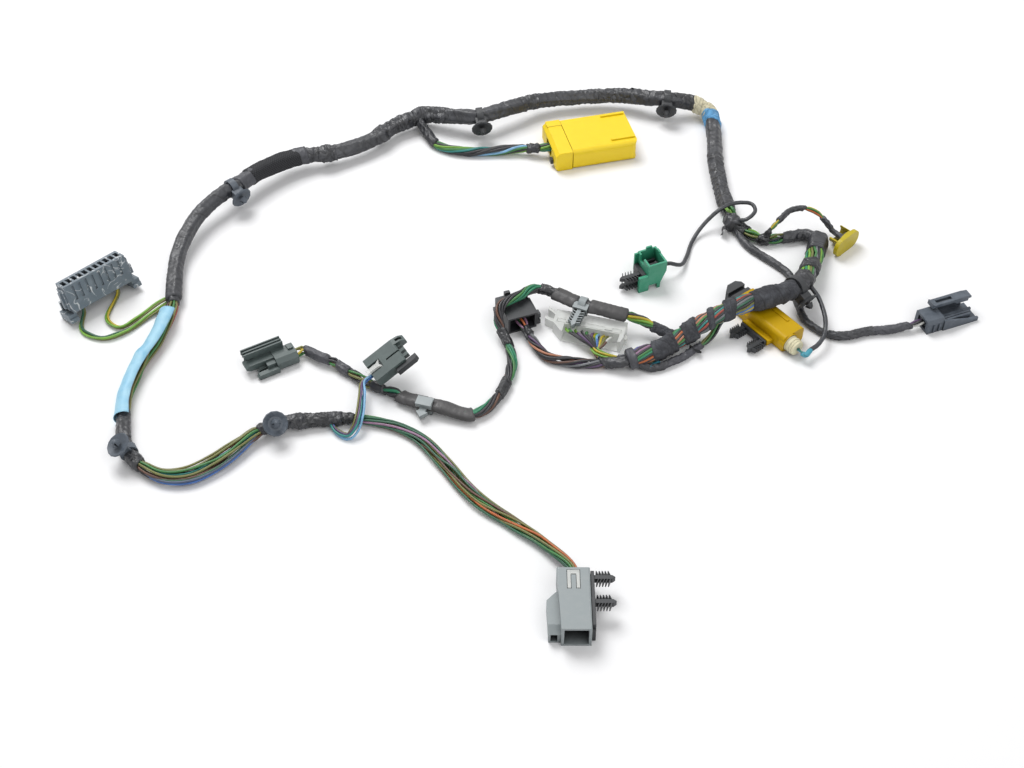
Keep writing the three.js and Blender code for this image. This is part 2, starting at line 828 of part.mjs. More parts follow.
// The clear connector: an open tray that wires enter, a comb of terminal bays and end arms,
// and the bar that locks the terminals.
function clearConnector(at, heading) {
  const group = station(at, heading);
  const p = CLEAR;
  const half = p.width / 2;
  const pitch = (p.width - 2 * p.wall) / p.teeth;
  const bays = [];
  for (let i = 0; i < p.teeth; i++) {
    const y = -half + p.wall + i * pitch;
    bays.push(
      box(
        [p.depth - p.combDepth, y + p.wall / 2, p.wall * 2],
        [p.depth + OVERCUT, y + pitch - p.wall / 2, p.thickness - p.wall],
      ),
    );
  }
  const frame = prism("z", [
    [0, -half + 1], [0, half - 7], [7, half], [p.depth, half], [p.depth, -half], [5, -half],
  ], 0, p.thickness);
  const tray = box(
    [-OVERCUT, -half + 3, p.wall],
    [p.trayDepth, half - 8, p.thickness + OVERCUT],
  );
  const arms = [
    prism("z", [[p.depth - 5, half - OVERCUT], [p.depth - 2, half - OVERCUT], [p.depth + 2, half + 6],
      [p.depth - 0.5, half + 6]], 2, p.thickness - 1),
    prism("z", [[9, half - OVERCUT], [12, half - OVERCUT], [14, half + 6.5], [11.5, half + 6.5]],
      0, p.thickness - 3),
    box([6, -half - 2, 2], [10, -half + OVERCUT, p.thickness - 3]),
  ];
  const trough = box(
    [p.trayDepth + 0.8, -half + 2.4, p.thickness - p.barThickness - CLEARANCE],
    [p.trayDepth + 4, half - 2.4, p.thickness + OVERCUT],
  );
  addPiece(
    group,
    "clear_housing",
    cut(join(frame, ...arms), tray, trough, ...bays),
    MATERIALS.clear,
  );
  const [x0, x1] = [p.trayDepth + 0.8 + CLEARANCE, p.trayDepth + 4 - CLEARANCE];
  const bar = box(
    [x0, -half + 2.4 + CLEARANCE, p.thickness - p.barThickness],
    [x1, half - 2.4 - CLEARANCE, p.thickness],
  );
  const grips = [-1, 1].map((i) =>
    box([x0, i * 13 - 2.5, p.thickness - OVERCUT], [x1, i * 13 + 2.5, p.thickness + 1]),
  );
  addPiece(group, "clear_lock_bar", join(bar, ...grips), MATERIALS.clear);
  return group;
}

// The sealed connector: shell with a side flange, wire seal, dark cap and clip carrier.
function sealedConnector(at, heading) {
  const group = station(at, heading);
  const p = SEALED;
  const half = p.width / 2;
  const [y0, y1] = [p.offset - half, p.offset + half];
  const r = p.cornerRadius;
  const socketRadius = p.sealRadius + CLEARANCE;
  const mid = p.height / 2;
  const shell = prism("x", roundedOutline([y0, 0], [y1, p.height], [r, r / 2, r, r]), 0, p.length);
  const collarRadius = Math.min(socketRadius + 0.6, mid - 0.01);
  const seal = (radius, from, to) =>
    solidOf(
      new THREE.CylinderGeometry(radius, radius, to - from, 20)
        .rotateZ(Math.PI / 2)
        .translate((from + to) / 2, 0, mid),
    );
  const collar = seal(collarRadius, -1, p.sealSocket);
  const socket = seal(socketRadius, -2, p.sealSocket);
  const flange = box(
    [p.flangeStart, y1 - OVERCUT, 2],
    [p.flangeEnd, y1 + p.flangeReach, 2 + p.flangeThickness],
  );
  const flangeLip = box(
    [p.flangeStart, y1 + p.flangeReach - 1.4, 2],
    [p.flangeEnd, y1 + p.flangeReach, 6.5],
  );
  const step = box([p.flangeEnd, y1 - 4, mid], [p.length + OVERCUT, y1 + OVERCUT, p.height + OVERCUT]);
  const keyRail = box([10, y0 + 4, p.height - OVERCUT], [36, y0 + 6, p.height + 0.6]);
  addPiece(
    group,
    "sealed_housing",
    cut(join(shell, collar, flange, flangeLip, keyRail), socket, step),
    MATERIALS.amber,
  );
  const ribs = [1.5, 3.5].map((x) => seal(p.sealRadius, -p.sealLength + x, -p.sealLength + x + 1));
  const sealBody = join(
    seal(p.sealRadius - 0.5, -p.sealLength, p.sealSocket - CLEARANCE),
    seal(p.sealRadius, -2, p.sealSocket - CLEARANCE),
    ...ribs,
  );
  addPiece(group, "sealed_wire_seal", sealBody, MATERIALS.cream);

  const capStart = p.length + CLEARANCE;
  const capHalf = p.capWidth / 2;
  const cap = prism("z", [
    [capStart, p.offset - capHalf], [capStart + p.capLength - 3, p.offset - capHalf],
    [capStart + p.capLength, p.offset - capHalf + 3], [capStart + p.capLength, p.offset + capHalf - 5],
    [capStart + p.capLength - 4, p.offset + capHalf], [capStart, p.offset + capHalf],
  ], 0, p.capHeight);
  const grip = box(
    [capStart + 4, p.offset - capHalf - OVERCUT, p.capHeight - 3],
    [capStart + 7, p.offset + capHalf + OVERCUT, p.capHeight + OVERCUT],
  );
  addPiece(group, "sealed_cap", cut(cap, grip), MATERIALS.black);

  // The carrier hangs on the flange's lip, and its two fir trees point away from it.
  const root = y1 + p.flangeReach + CLEARANCE;
  const centre = (p.flangeStart + p.flangeEnd) / 2;
  const plate = box([centre - p.firPitch / 2 - 3, root, 1], [centre + p.firPitch / 2 + 3, root + 1.6, 6]);
  const trees = [-1, 1].map((i) =>
    moved(
      firTree(),
      new THREE.Matrix4()
        .makeRotationZ(Math.PI / 2)
        .setPosition(centre + (i * p.firPitch) / 2, root + 1, 3.4),
    ),
  );
  addPiece(group, "sealed_clip_carrier", join(plate, ...trees), MATERIALS.black);
  return group;
}

// The slim connector: a wire block, a channelled front with inner prongs, and a latch lever.
function rightConnector(at, heading) {
  const group = station(at, heading);
  const p = RIGHT;
  const half = p.width / 2;
  const w = p.wall;
  const block = prism("x", [
    [-half + 1, 0], [half - 1, 0], [half - 1, p.height - 1], [half - 2, p.height],
    [-half + 3, p.height], [-half + 1, p.height - 2],
  ], 0, p.backLength);
  const floor = box([p.backLength - OVERCUT, -half, 0], [p.length, half, w]);
  const nearWall = prism("y", [
    [p.backLength - OVERCUT, 0], [p.length, 0], [p.length, 3.2], [p.length - 8, 4.2],
    [p.backLength - OVERCUT, p.height - 1],
  ], -half, -half + w);
  const farWall = box([p.backLength - OVERCUT, half - w, 0], [p.length - 4, half, p.height]);
  const prongSpan = p.width - p.latchWidth - 2 * w;
  const prongs = Array.from({ length: p.prongs }, (_, i) => {
    const y = -half + w + 1.2 + (i * (prongSpan - 1)) / p.prongs;
    return box([p.backLength - OVERCUT, y, 2.6], [p.length - 5 + i * 1.5, y + 1.6, 6.2]);
  });
  const ribs = [4, 8].map((x) => box([x, -half, 1], [x + 1, -half + 1 + OVERCUT, p.height - 3]));
  const port = box([-OVERCUT, -4.5, 2], [1.5, 4.5, p.height - 2]);
  addPiece(
    group,
    "right_housing",
    cut(join(block, floor, nearWall, farWall, ...prongs, ...ribs), port),
    MATERIALS.slate,
  );

  // The lever stands on a root at its front and is free at its back, over a gap.
  const y0 = half - p.latchWidth;
  const end = p.length - 1;
  const z0 = p.height + CLEARANCE;
  const lever = prism("y", [
    [p.latchStart, z0 + p.latchGap], [p.length - 14, z0 + p.latchGap], [p.length - 12, z0],
    [end - 2, z0], [end - 2, p.latchHeight - 2.4], [end, p.latchHeight - 2.2],
    [end, p.latchHeight - 0.8], [end - 5, p.latchHeight], [p.latchStart + 2, p.latchHeight],
    [p.latchStart, p.latchHeight + 1],
  ], y0, half);
  const slot = box(
    [p.latchStart + 4, y0 + 2, z0 - OVERCUT],
    [p.latchStart + 4 + p.latchSlot, half - 2, p.latchHeight + OVERCUT],
  );
  addPiece(group, "right_latch", cut(lever, slot), MATERIALS.slate);
  return group;
}

// The upright connector. Its own z axis is the mating direction.
function greenConnector(at, heading) {
  const group = station(at, heading);
  const p = GREEN;
  const [hw, hd] = [p.width / 2, p.depth / 2];
  const base = p.footHeight;
  const body = prism("y", [
    [-hw, base], [hw - p.taper, base], [hw, p.shoulder], [hw, p.height], [-hw, p.height],
  ], -hd, hd);
  const rearTab = box([-1, hd - p.wall, p.height - OVERCUT], [3.4, hd, p.height + 2]);
  const sideTab = box([hw - p.wall, 1, p.height - OVERCUT], [hw, 5, p.height + 1]);
  const socket = box(
    [-hw + p.wall, -hd + p.wall, p.height - p.socketDepth],
    [hw - p.wall, hd - p.wall, p.height + OVERCUT * 4],
  );
  const notch = box(
    [-hw - OVERCUT, -p.notch / 2 + 2, p.height - 5],
    [-hw + p.wall + OVERCUT, p.notch / 2 + 2, p.height + OVERCUT],
  );
  const chute = box([hw - p.portDepth, -2.5, p.portHeight - 3], [hw + OVERCUT, 2.5, p.portHeight + 3]);
  // Two walls on the flank make the channel that holds the clip carrier.
  const lug = box([-hw - p.lugReach, -hd, 0], [-hw + OVERCUT, -hd + 2.2, p.lugHeight]);
  const guide = box([-hw - 2.6, hd - p.wall, base + 2], [-hw + OVERCUT, hd, p.height - 1]);
  const feet = [
    [-hw, hd - p.footSize], [hw - p.taper - p.footSize, -hd],
    [hw - p.taper - p.footSize, hd - p.footSize],
  ].map(([x, y]) => box([x, y, 0], [x + p.footSize, y + p.footSize, base + OVERCUT]));
  addPiece(
    group,
    "green_housing",
    cut(join(body, rearTab, sideTab, lug, guide, ...feet), socket, notch, chute),
    MATERIALS.green,
  );

  const floor = p.height - p.socketDepth + CLEARANCE;
  const inner = p.wall + CLEARANCE;
  const insert = join(
    box([-hw + inner, -hd + inner, floor], [hw - inner, hd - inner, floor + 2]),
    ...[-1, 0, 1].map((i) =>
      box([-hw + inner + 1, i * 4 - 0.7, floor], [hw - inner - 1, i * 4 + 0.7, floor + 6]),
    ),
  );
  addPiece(group, "green_terminal_insert", insert, MATERIALS.black);

  const root = -hw - CLEARANCE;
  const top = p.firHeight + p.firPitch;
  const plate = box(
    [root - 3, -hd + 2.2 + CLEARANCE, 0.6],
    [root, hd - p.wall - CLEARANCE, top + 2.6],
  );
  const trees = [p.firHeight, top].map((z) =>
    moved(
      firTree(FIR.length + 2, p.firThickness),
      new THREE.Matrix4().makeRotationZ(Math.PI).setPosition(root - 2.6, p.firShift, z),
    ),
  );
  addPiece(group, "green_clip_carrier", join(plate, ...trees), MATERIALS.black);
  return group;
}

// The oval connector: a narrow cup, partly open on top, that wires enter and a wide flange
// round its mating end.
function coverConnector(at, heading) {
  const group = station(at, heading);
  const p = COVER;
  const oval = (width, height, shift, bottom) => {
    const r = height * 0.46;
    return roundedOutline(
      [shift - width / 2, bottom],
      [shift + width / 2, bottom + height],
      [r, r, r, r],
    );
  };
  const w = p.wall;
  const cupEnd = p.depth - p.flangeThickness;
  const cup = prism("x", oval(p.cupWidth, p.cupHeight, p.cupShift, 1.6), p.cupStart, p.depth - 1);
  const hollow = prism(
    "x",
    oval(p.cupWidth - 2 * w, p.cupHeight - 2 * w, p.cupShift, 1.6 + w),
    p.cupStart - OVERCUT,
    cupEnd,
  );
  const window = box(
    [p.cupStart - OVERCUT, p.cupShift - p.cupWidth / 2 - OVERCUT, 1.6 + p.cupHeight / 2],
    [p.cupStart + p.openTop, p.cupShift + p.cupWidth / 2 - 2 * w, p.height + OVERCUT],
  );
  const flange = prism("x", oval(p.width, p.height, 0, 0), cupEnd, p.depth);
  addPiece(group, "cover_housing", cut(join(cup, flange), hollow, window), MATERIALS.yellow);
  const gap = 2 * (w + CLEARANCE);
  const insert = prism(
    "x",
    oval(p.cupWidth - gap - 1, p.cupHeight - gap - 1, p.cupShift, 1.6 + gap / 2 + 0.5),
    cupEnd - 4,
    cupEnd - CLEARANCE,
  );
  addPiece(group, "cover_insert", insert, MATERIALS.black);
  return group;
}

// The hollow connector: housing with a side rail, pin block, white lock and clip carrier.
function frontConnector(at, heading) {
  const group = station(at, heading);
  const p = FRONT;
  const half = p.width / 2;
  const w = p.wall;
  const mouthEdge = -half + p.mouthTaper;
  const section = roundedOutline([-half, 0], [half, p.height], [0, 0, 1, 1]);
  const plan = [[0, -half], [p.length, mouthEdge], [p.length, half], [0, half]];
  const body = prism("x", section, 0, p.length).intersect(
    prism("z", plan, -OVERCUT, p.height + OVERCUT),
  );
  const railEdge = -half - p.railReach;
  const rail = prism("z", [
    [p.railStart, -half + 2.5], [p.railStart, -half],
    [p.railStart + p.railChamfer, railEdge], [p.railEnd, railEdge + 0.8],
    [p.railEnd, -half + 2.5],
  ], 0, p.railHeight);
  const railSlope = prism("y", [
    [p.railEnd - 6, p.railHeight + OVERCUT], [p.railEnd + OVERCUT, p.railHeight + OVERCUT],
    [p.railEnd + OVERCUT, p.railHeight - 4],
  ], railEdge - OVERCUT, mouthEdge);
  const channel = box(
    [p.railEnd - 14, railEdge + p.railWall + 0.6, p.railWall],
    [p.railEnd + OVERCUT, -half, p.railHeight - 3.6],
  );
  const socket = box(
    [p.length - p.socketDepth, mouthEdge + w, w],
    [p.length + OVERCUT, half - w, p.height - w],
  );
  const lockBed = box(
    [p.lockStart, -p.lockWidth / 2 - CLEARANCE, p.height - p.lockDepth - CLEARANCE],
    [p.lockStart + p.lockLength + CLEARANCE, p.lockWidth / 2 + CLEARANCE, p.height + OVERCUT],
  );
  // A ridge left standing in the bed fills the space between the legs of the lock.
  const ridge = box(
    [p.lockStart + 3.4, -p.lockWidth / 2 + p.lockLeg + CLEARANCE, p.height - 3],
    [p.lockStart + p.lockLength + 1, p.lockWidth / 2 - p.lockLeg - CLEARANCE, p.height],
  );
  const wirePocket = box([-OVERCUT, -half + 4, 4], [2, half - 4, p.height - 4.5]);
  addPiece(
    group,
    "front_housing",
    join(cut(join(body, cut(rail, railSlope)), channel, socket, lockBed, wirePocket), ridge),
    MATERIALS.grey,
  );

  const floor = p.length - p.socketDepth + CLEARANCE;
  const centre = (mouthEdge + half) / 2;
  const pins = [];
  for (const z of [-1, 1])
    for (let i = 0; i < p.pins; i++) {
      const y = centre + (i - (p.pins - 1) / 2) * p.pinPitch;
      const mid = p.height / 2 + z * 2.4;
      pins.push(
        box(
          [floor, y - p.pinSize / 2, mid - p.pinSize / 2],
          [floor + p.blockThickness + p.pinLength, y + p.pinSize / 2, mid + p.pinSize / 2],
        ),
      );
    }
  const block = box(
    [floor, mouthEdge + w + CLEARANCE, w + CLEARANCE],
    [floor + p.blockThickness, half - w - CLEARANCE, p.height - w - CLEARANCE],
  );
  addPiece(group, "front_pin_block", join(block, ...pins), MATERIALS.black);

  const [l0, l1] = [p.lockStart + CLEARANCE, p.lockStart + p.lockLength];
  const [z0, z1] = [p.height - p.lockDepth, p.height + 0.3];
  const lock = join(
    box([l0, -p.lockWidth / 2, z0], [l0 + 2.6, p.lockWidth / 2, z1]),
    ...[-1, 1].map((i) => {
      const inner = i * (p.lockWidth / 2 - p.lockLeg);
      const outer = (i * p.lockWidth) / 2;
      return box([l0, Math.min(inner, outer), z0], [l1, Math.max(inner, outer), z1]);
    }),
  );
  addPiece(group, "front_lock", lock, MATERIALS.clear);

  const side = half + CLEARANCE;
  const level = p.carrierLevel;
  const arm = cut(
    box(
      [1, side, level - p.carrierHeight / 2],
      [1 + p.carrierLength, side + p.carrierThickness, level + p.carrierHeight / 2],
    ),
    box([p.firFirst + p.firPitch + 4, side - OVERCUT, level - 1.2], [p.carrierLength - 2, side + 9, level + 1.2]),
  );
  const guide = box([p.length - 16, side, 0.4], [p.length - 3, side + p.carrierThickness, level]);
  const trees = [0, 1].map((i) =>
    moved(
      firTree(),
      new THREE.Matrix4()
        .makeRotationZ(Math.PI / 2)
        .setPosition(p.firFirst + i * p.firPitch, side + p.carrierThickness - 1, level),
    ),
  );
  addPiece(group, "front_clip_carrier", join(arm, guide, ...trees), MATERIALS.black);
  return group;
}

// The edge clip: a saddle round its bundle and a flat arrowhead that points along the pin.
function addEdgeClip(root, name, host, near, pin) {
  const group = clipStation(host, near, pin);
  const c = EDGE_CLIP;
  const outer = host.diameter / 2 + CLEARANCE + c.wall;
  const saddle = box([-c.length / 2, -outer, -outer], [c.length / 2, outer, host.diameter / 4]);
  const tip = -outer - c.reach;
  const arrow = prism("y", [
    [-c.neck / 2, -outer + OVERCUT], [-c.neck / 2, tip + 4.4], [-c.head / 2, tip + 4.4],
    [-c.head / 2 + 1, tip + 2.8], [0, tip], [c.head / 2 - 1, tip + 2.8],
    [c.head / 2, tip + 4.4], [c.neck / 2, tip + 4.4], [c.neck / 2, -outer + OVERCUT],
  ], -c.thickness / 2, c.thickness / 2);
  addPiece(group, name, cut(join(saddle, arrow), envelopeIn(group, host)), MATERIALS.grey);
  root.add(group);
}

// The fir tree clip: a strap base on its bundle with one fir tree.
function addFirClip(root, name, host, near, pin) {
  const group = clipStation(host, near, pin);
  const outer = host.diameter / 2 + CLEARANCE + CLIP.strapThickness;
  const strap = solidOf(
    new THREE.CylinderGeometry(outer, outer, CLIP.strapWidth, 2 * CLIP.facets).rotateZ(Math.PI / 2),
  );
  const base = box([-5, -3.2, -outer - 1.2], [5, 3.2, 0]);
  const tree = moved(
    firTree(FIR.length + 2),
    new THREE.Matrix4()
      .makeRotationY(Math.PI / 2)
      .multiply(new THREE.Matrix4().makeRotationX(Math.PI / 2))
      .setPosition(0, 0, -outer),
  );
  addPiece(group, name, cut(join(strap, base, tree), envelopeIn(group, host)), MATERIALS.grey);
  root.add(group);
}

const harness = new THREE.Group();

// Connectors, where they lie.
const panel = panelConnector([-286, 28, 6.6], 134, 73);
const yellow = yellowConnector([21.5, 183, 0], 14);
const tee = teeConnector([-93.5, -52.5, 9.2], 30, 25, 37);
const left = leftConnector([-147.5, -25.5, 0], 210);
const black = blackConnector([1, -2, 0], 111);
const clear = clearConnector([42, -16.5, 0], 74.5);
const sealed = sealedConnector([174.5, -19, 0], 127);
const right = rightConnector([265, 1, 0], 21.5);
const green = greenConnector([88.8, 46.7, 0], 23);
const cover = coverConnector([217, 87, 0], -46);
const front = frontConnector([28.3, -206.2, 0], -90);
harness.add(panel, yellow, tee, left, black, clear, sealed, right, green, cover, front);

// Where wires enter them.
const yellowPort = port(yellow, [YELLOW.entryDepth, 0, YELLOW.height / 2]);
const teePort = port(tee, [0, -1, TEE.thickness / 2 - 0.4]);
const leftPort = port(left, [1.6, (LEFT.width - LEFT.backWidth) / 2, LEFT.height / 2]);
const blackPort = port(black, [BLACK.recess, 0, BLACK.height / 2]);
const clearPort = port(clear, [CLEAR.trayDepth, -6, CLEAR.thickness / 2]);
const sealPort = port(sealed, [-SEALED.sealLength, 0, SEALED.height / 2]);
const rightPort = port(right, [1.5, 0, RIGHT.height / 2]);
const greenPort = port(green, [GREEN.width / 2 - GREEN.portDepth, 0, GREEN.portHeight], [1, 0, 0]);
const coverPort = port(cover, [COVER.depth - COVER.flangeThickness - 4, COVER.cupShift, 6.8]);
const frontPort = port(front, [2, 0, FRONT.height / 2 - 0.3]);
const panelPortA = port(panel, [2, -12, PANEL.thickness / 2]);
const panelPortB = port(panel, [2, 15, PANEL.thickness / 2]);

// The bundles. Each branch starts inside the one that it leaves and is cut back to its surface.
const trunkLeft = bundle(
  [
    [-233, 23, 6.5], [-236, 56, 8], [-233, 80, 11], [-224, 104, 14], [-212, 120, 15.6],
    [-201, 131, 15.6], [-187, 148, 14.5], [-162, 167, 12], [-139, 173, 10.5], [-113, 187, 9.5],
    [-94, 207, 9.5], [-80, 216, 10],
  ],
  TRUNK_LEFT,
);
const trunkBack = bundle(
  [
    ...beyond(trunkLeft, 1), [-49, 213, 14], [-30, 210, 15.6], [-11, 220, 15], [15, 235, 12],
    [46, 241, 11], [77, 241, 12], [98, 234, 15], [112, 232, 15.6], [132, 232, 12],
    [144, 226, 8], [146, 204, 6.3], [144, 170, 6], [145, 138, 6], [148, 114, 6], [150, 98, 6],
  ],
  TRUNK_BACK,
);
const trunkRight = bundle(
  [
    [73, -34, 7], [91, -26, 7.5], [110, -13, 10], [129, -4, 16.5], [146, 2, 20.6],
    [162, 8, 20.6], [176, 15, 19.5], [188, 27, 17], [196, 45, 13], [203.5, 66, 9], [208, 82, 7],
  ],
  TRUNK_RIGHT,
);
const labelBundle = bundle(
  [
    ...beyond(trunkLeft, 0), [-234, 2, 6], [-238, -17, 5.7], [-244, -34, 5.5], [-248, -52, 5.5],
    [-249, -71, 5.5], [-247, -86, 5.8], [-244, -102, 6.4], [-238, -115, 6.4], [-230, -123, 5],
    [-216, -130, 4.3], [-200, -129, 4.3], [-186, -120, 4.6], [-173, -107, 5.5],
    [-164, -98, 6.4], [-151, -90, 6.4], [-138, -87, 5.5], [-124, -85, 4.6], [-114, -84, 4.4],
  ],
  LABEL_BUNDLE,
);
const frontBranch = bundle(
  [
    ...beyond(labelBundle, 1), [-94, -85, 3.6], [-75, -91, 3.3], [-60, -102, 3.3],
    [-47, -119, 3.3], [-34, -138, 3.3], [-19, -154, 3.3], [-4, -166, 3.3], [12, -180, 4.5],
    frontPort.approach, frontPort.end,
  ],
  FRONT_BRANCH,
);
const rearLink = seatOn(
  bundle(
    [
      [150.3, 101, 6], [160, 90, 5], [170, 84, 4.3], [185, 86, 4.3], [200, 88, 5], [207, 79, 7],
    ],
    REAR_LINK,
  ),
  trunkBack,
  trunkRight,
);
const leftBranch = seatOn(
  bundle(
    [
      leftPort.end, leftPort.approach, [-129, -32.5, 6], [-122, -35, 5], [-115, -40, 4.5],
      [-108.5, -45, 4], [-102, -50, 3.7], [-97, -53.5, 3.7], [-88.7, -58.4, 3.7], [-80, -61.5, 3.8],
      [-73.5, -66.5, 4.2], [-64, -71, 5.7], [-51, -75.3, 6], [-38.5, -79.5, 5], [-31.5, -80.5, 4.5],
      [-23, -76, 4], [-15.5, -66, 3.7], [-9.8, -53, 3.7], [-6.6, -41.7, 3.8], [-6.2, -31, 4.5],
      [-8.5, -20, 6], [-13, -10, 9], [-15, -3.5, 13], [-13.6, 3, 16.8], [-9.5, 7.5, 17.5],
      [-5, 10.5, 17.5], [-0.5, 13.5, 17.3], [4.5, 18.5, 17], [11, 21.5, 16], [18, 20.5, 15.2],
      [25, 16.5, 15.2], [33, 10.8, 15.5], [42, 6.4, 15.5], [50, 3.5, 15.2], [58.5, 0.8, 15],
      [68, -1.5, 14.2], [78.5, -4, 11.5], [89, -9, 9], [100, -16, 9],
    ],
    LEFT_BRANCH,
  ),
  trunkRight,
);
const blackBranch = bundle(
  [
    ...beyond(trunkRight, 0), [56, -36, 4.2], [46, -36, 3.6], [29, -34, 3.6], [16, -29, 3.8],
    blackPort.approach, blackPort.end,
  ],
  BLACK_BRANCH,
);
const clearBranch = seatOn(
  bundle(
    [clearPort.end, clearPort.approach, [48, -26, 5.2], [56, -31.5, 5.2], [64, -33, 5.8], [74, -33, 6]],
    CLEAR_BRANCH,
  ),
  trunkRight,
  blackBranch,
);
const parallelBranch = seatOn(
  bundle(
    [
      [72, -35, 5], [84, -39, 2.7], [98, -33, 2.7], [112, -23, 2.7], [123, -14, 5],
      [131, -5, 12],
    ],
    PARALLEL_BRANCH,
  ),
  trunkRight,
  blackBranch,
  clearBranch,
);
const rightBranch = seatOn(
  bundle(
    [
      [150, 102, 5], [155, 87, 3], [161, 76, 2.8], [176, 60, 2.8], [184, 49, 2.8],
      [185, 34, 2.8], [186, 20, 2.8], [189, 5, 2.8], [198, -6, 2.8], [211, -10, 2.8],
      [227, -6, 2.8], [245, -4, 3.5], rightPort.approach, rightPort.end,
    ],
    RIGHT_BRANCH,
  ),
  trunkBack,
  rearLink,
);
const rearBranch = seatOn(
  bundle(
    [
      [170, 84, 5], [174, 85, 12], [182, 92, 17], [189, 99, 18], [200, 101, 18], [208, 98, 16.5],
      [214, 93, 12.5], coverPort.approach, coverPort.end,
    ],
    REAR_BRANCH,
  ),
  rearLink,
  trunkRight,
);
const greenWire = seatOn(
  bundle(
    [
      [150, 101, 8], [158, 95, 13], [165, 102, 14.6], [163, 110, 14.8], [153, 111, 14.8],
      [142, 106, 14], [130, 98, 7], [121, 86, 2], [115, 68, 2], [110, 57, 5],
      greenPort.approach, greenPort.end,
    ],
    GREEN_WIRE,
  ),
  trunkBack,
  rearLink,
  rightBranch,
);
const sealedWire = seatOn(
  bundle(
    [
      [192, 26, 16], [197.5, 17, 13], [199.6, 9, 11], [200.4, 0, 9.4], [199.5, -8, 8.6],
      [197, -16, 7.8], [192.5, -22.5, 7], [187.5, -26.5, 6.6], sealPort.approach, sealPort.end,
    ],
    SEALED_WIRE,
  ),
  trunkRight,
);
const yellowBranch = seatOn(
  bundle(
    [
      [-77, 216, 9], [-70, 203, 6], [-62, 191, 4], [-46, 184, 3.8], [-27, 183, 3.8],
      [-6, 184.5, 5], yellowPort.approach, yellowPort.end,
    ],
    YELLOW_BRANCH,
  ),
  trunkLeft,
  trunkBack,
);
const panelWiresA = seatOn(
  bundle(
    [
      [-234, 24, 6.5], [-243, 19, 5], [-255, 7, 3], [-265, -1, 2], [-272, 2, 1.9],
      [-276, 8, 2], panelPortA.approach, panelPortA.end,
    ],
    PANEL_WIRES,
  ),
  trunkLeft,
  labelBundle,
);
const panelWiresB = seatOn(
  bundle(
    [
      [-235, 22, 4], [-248, 10, 2], [-261, -5, 2], [-274, -11, 2], [-285, -8, 1.9],
      [-291, -1, 2], panelPortB.approach, panelPortB.end,
    ],
    PANEL_WIRES,
  ),
  trunkLeft,
  labelBundle,
  panelWiresA,
);
const teeWires = seatOn(
  bundle(
    [
      [-119, -86, 4], [-115, -93, 2.4], [-107, -97.5, 2.4], [-101.5, -93.5, 6.5], [-99.5, -86.5, 9.4],
      [-99, -77, 9.6], [-99, -68, 9.8], teePort.approach, teePort.end,
    ],
    TEE_WIRES,
  ),
  labelBundle,
  frontBranch,
);

const bundles = [
  ["trunk_left", trunkLeft, "wireTape"],
  ["trunk_back", trunkBack, "wireTape"],
  ["trunk_right", trunkRight, "wireTape"],
  ["label_bundle", labelBundle, "wireTape"],
  ["front_branch", frontBranch, "wire"],
  ["rear_link", rearLink, "wireTape"],
  ["left_branch", leftBranch, "wireTape"],
  ["black_branch", blackBranch, "wireTape"],
  ["clear_branch", clearBranch, "wireTape"],
  ["parallel_branch", parallelBranch, "wireTape"],
  ["right_branch", rightBranch, "wireTape"],
  ["rear_branch", rearBranch, "wireTape"],
  ["green_wire", greenWire, "wireTape"],
  ["sealed_wire", sealedWire, "wireTape"],
  ["yellow_branch", yellowBranch, "wireTape"],
  ["panel_wires_a", panelWiresA, "wire"],
  ["panel_wires_b", panelWiresB, "wire"],
  ["tee_wires", teeWires, "wire"],
];
for (const [name, made, finish] of bundles)
  addPiece(harness, name, made.solid, MATERIALS[finish]);

addPiece(harness, "cloth_tape", covering(trunkLeft, CLOTH), MATERIALS.cloth);
addPiece(harness, "part_label", covering(labelBundle, LABEL), MATERIALS.label);

// Clips, each at the place on its bundle that is nearest to a point, with its pin's direction.
const { slate, black: blackPlastic } = MATERIALS;
addDiscClip(harness, "left_disc_clip", trunkLeft, [-206, 126, 16], [0.1, -0.45, -0.89], slate);
addDiscClip(harness, "back_disc_clip", trunkBack, [-30, 210, 16], [0, -0.45, -0.89], slate);
addDiscClip(harness, "corner_disc_clip", trunkBack, [112, 232, 16], [0, -0.45, -0.89], slate);
addDiscClip(harness, "label_disc_clip", labelBundle, [-239, -112, 6.4], [-0.4, -0.6, 0.7], slate);
addDiscClip(harness, "front_disc_clip", labelBundle, [-153.5, -92, 6.4], [0, -0.68, 0.73], slate);
addDiscClip(harness, "right_disc_clip", trunkRight, [182, 20, 18], [0.2, -0.9, -0.3], blackPlastic);
addEdgeClip(harness, "edge_clip", leftBranch, [-60, -73, 5], [0, -1, -0.12]);
addFirClip(harness, "grey_fir_clip", leftBranch, [41, 7, 15.5], [0.04, -0.98, -0.16]);

export default harness;
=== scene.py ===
"""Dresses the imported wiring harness: bundles, tapes, wires, moulded parts, floor, light and camera.

Sizes typed here are in millimetres, apart from the studio's. Routes, meshes and the frame are in metres.
A place along a bundle is measured from the bundle's first route point.
"""

import logging
import math
from collections.abc import Callable
from dataclasses import dataclass
from enum import Enum

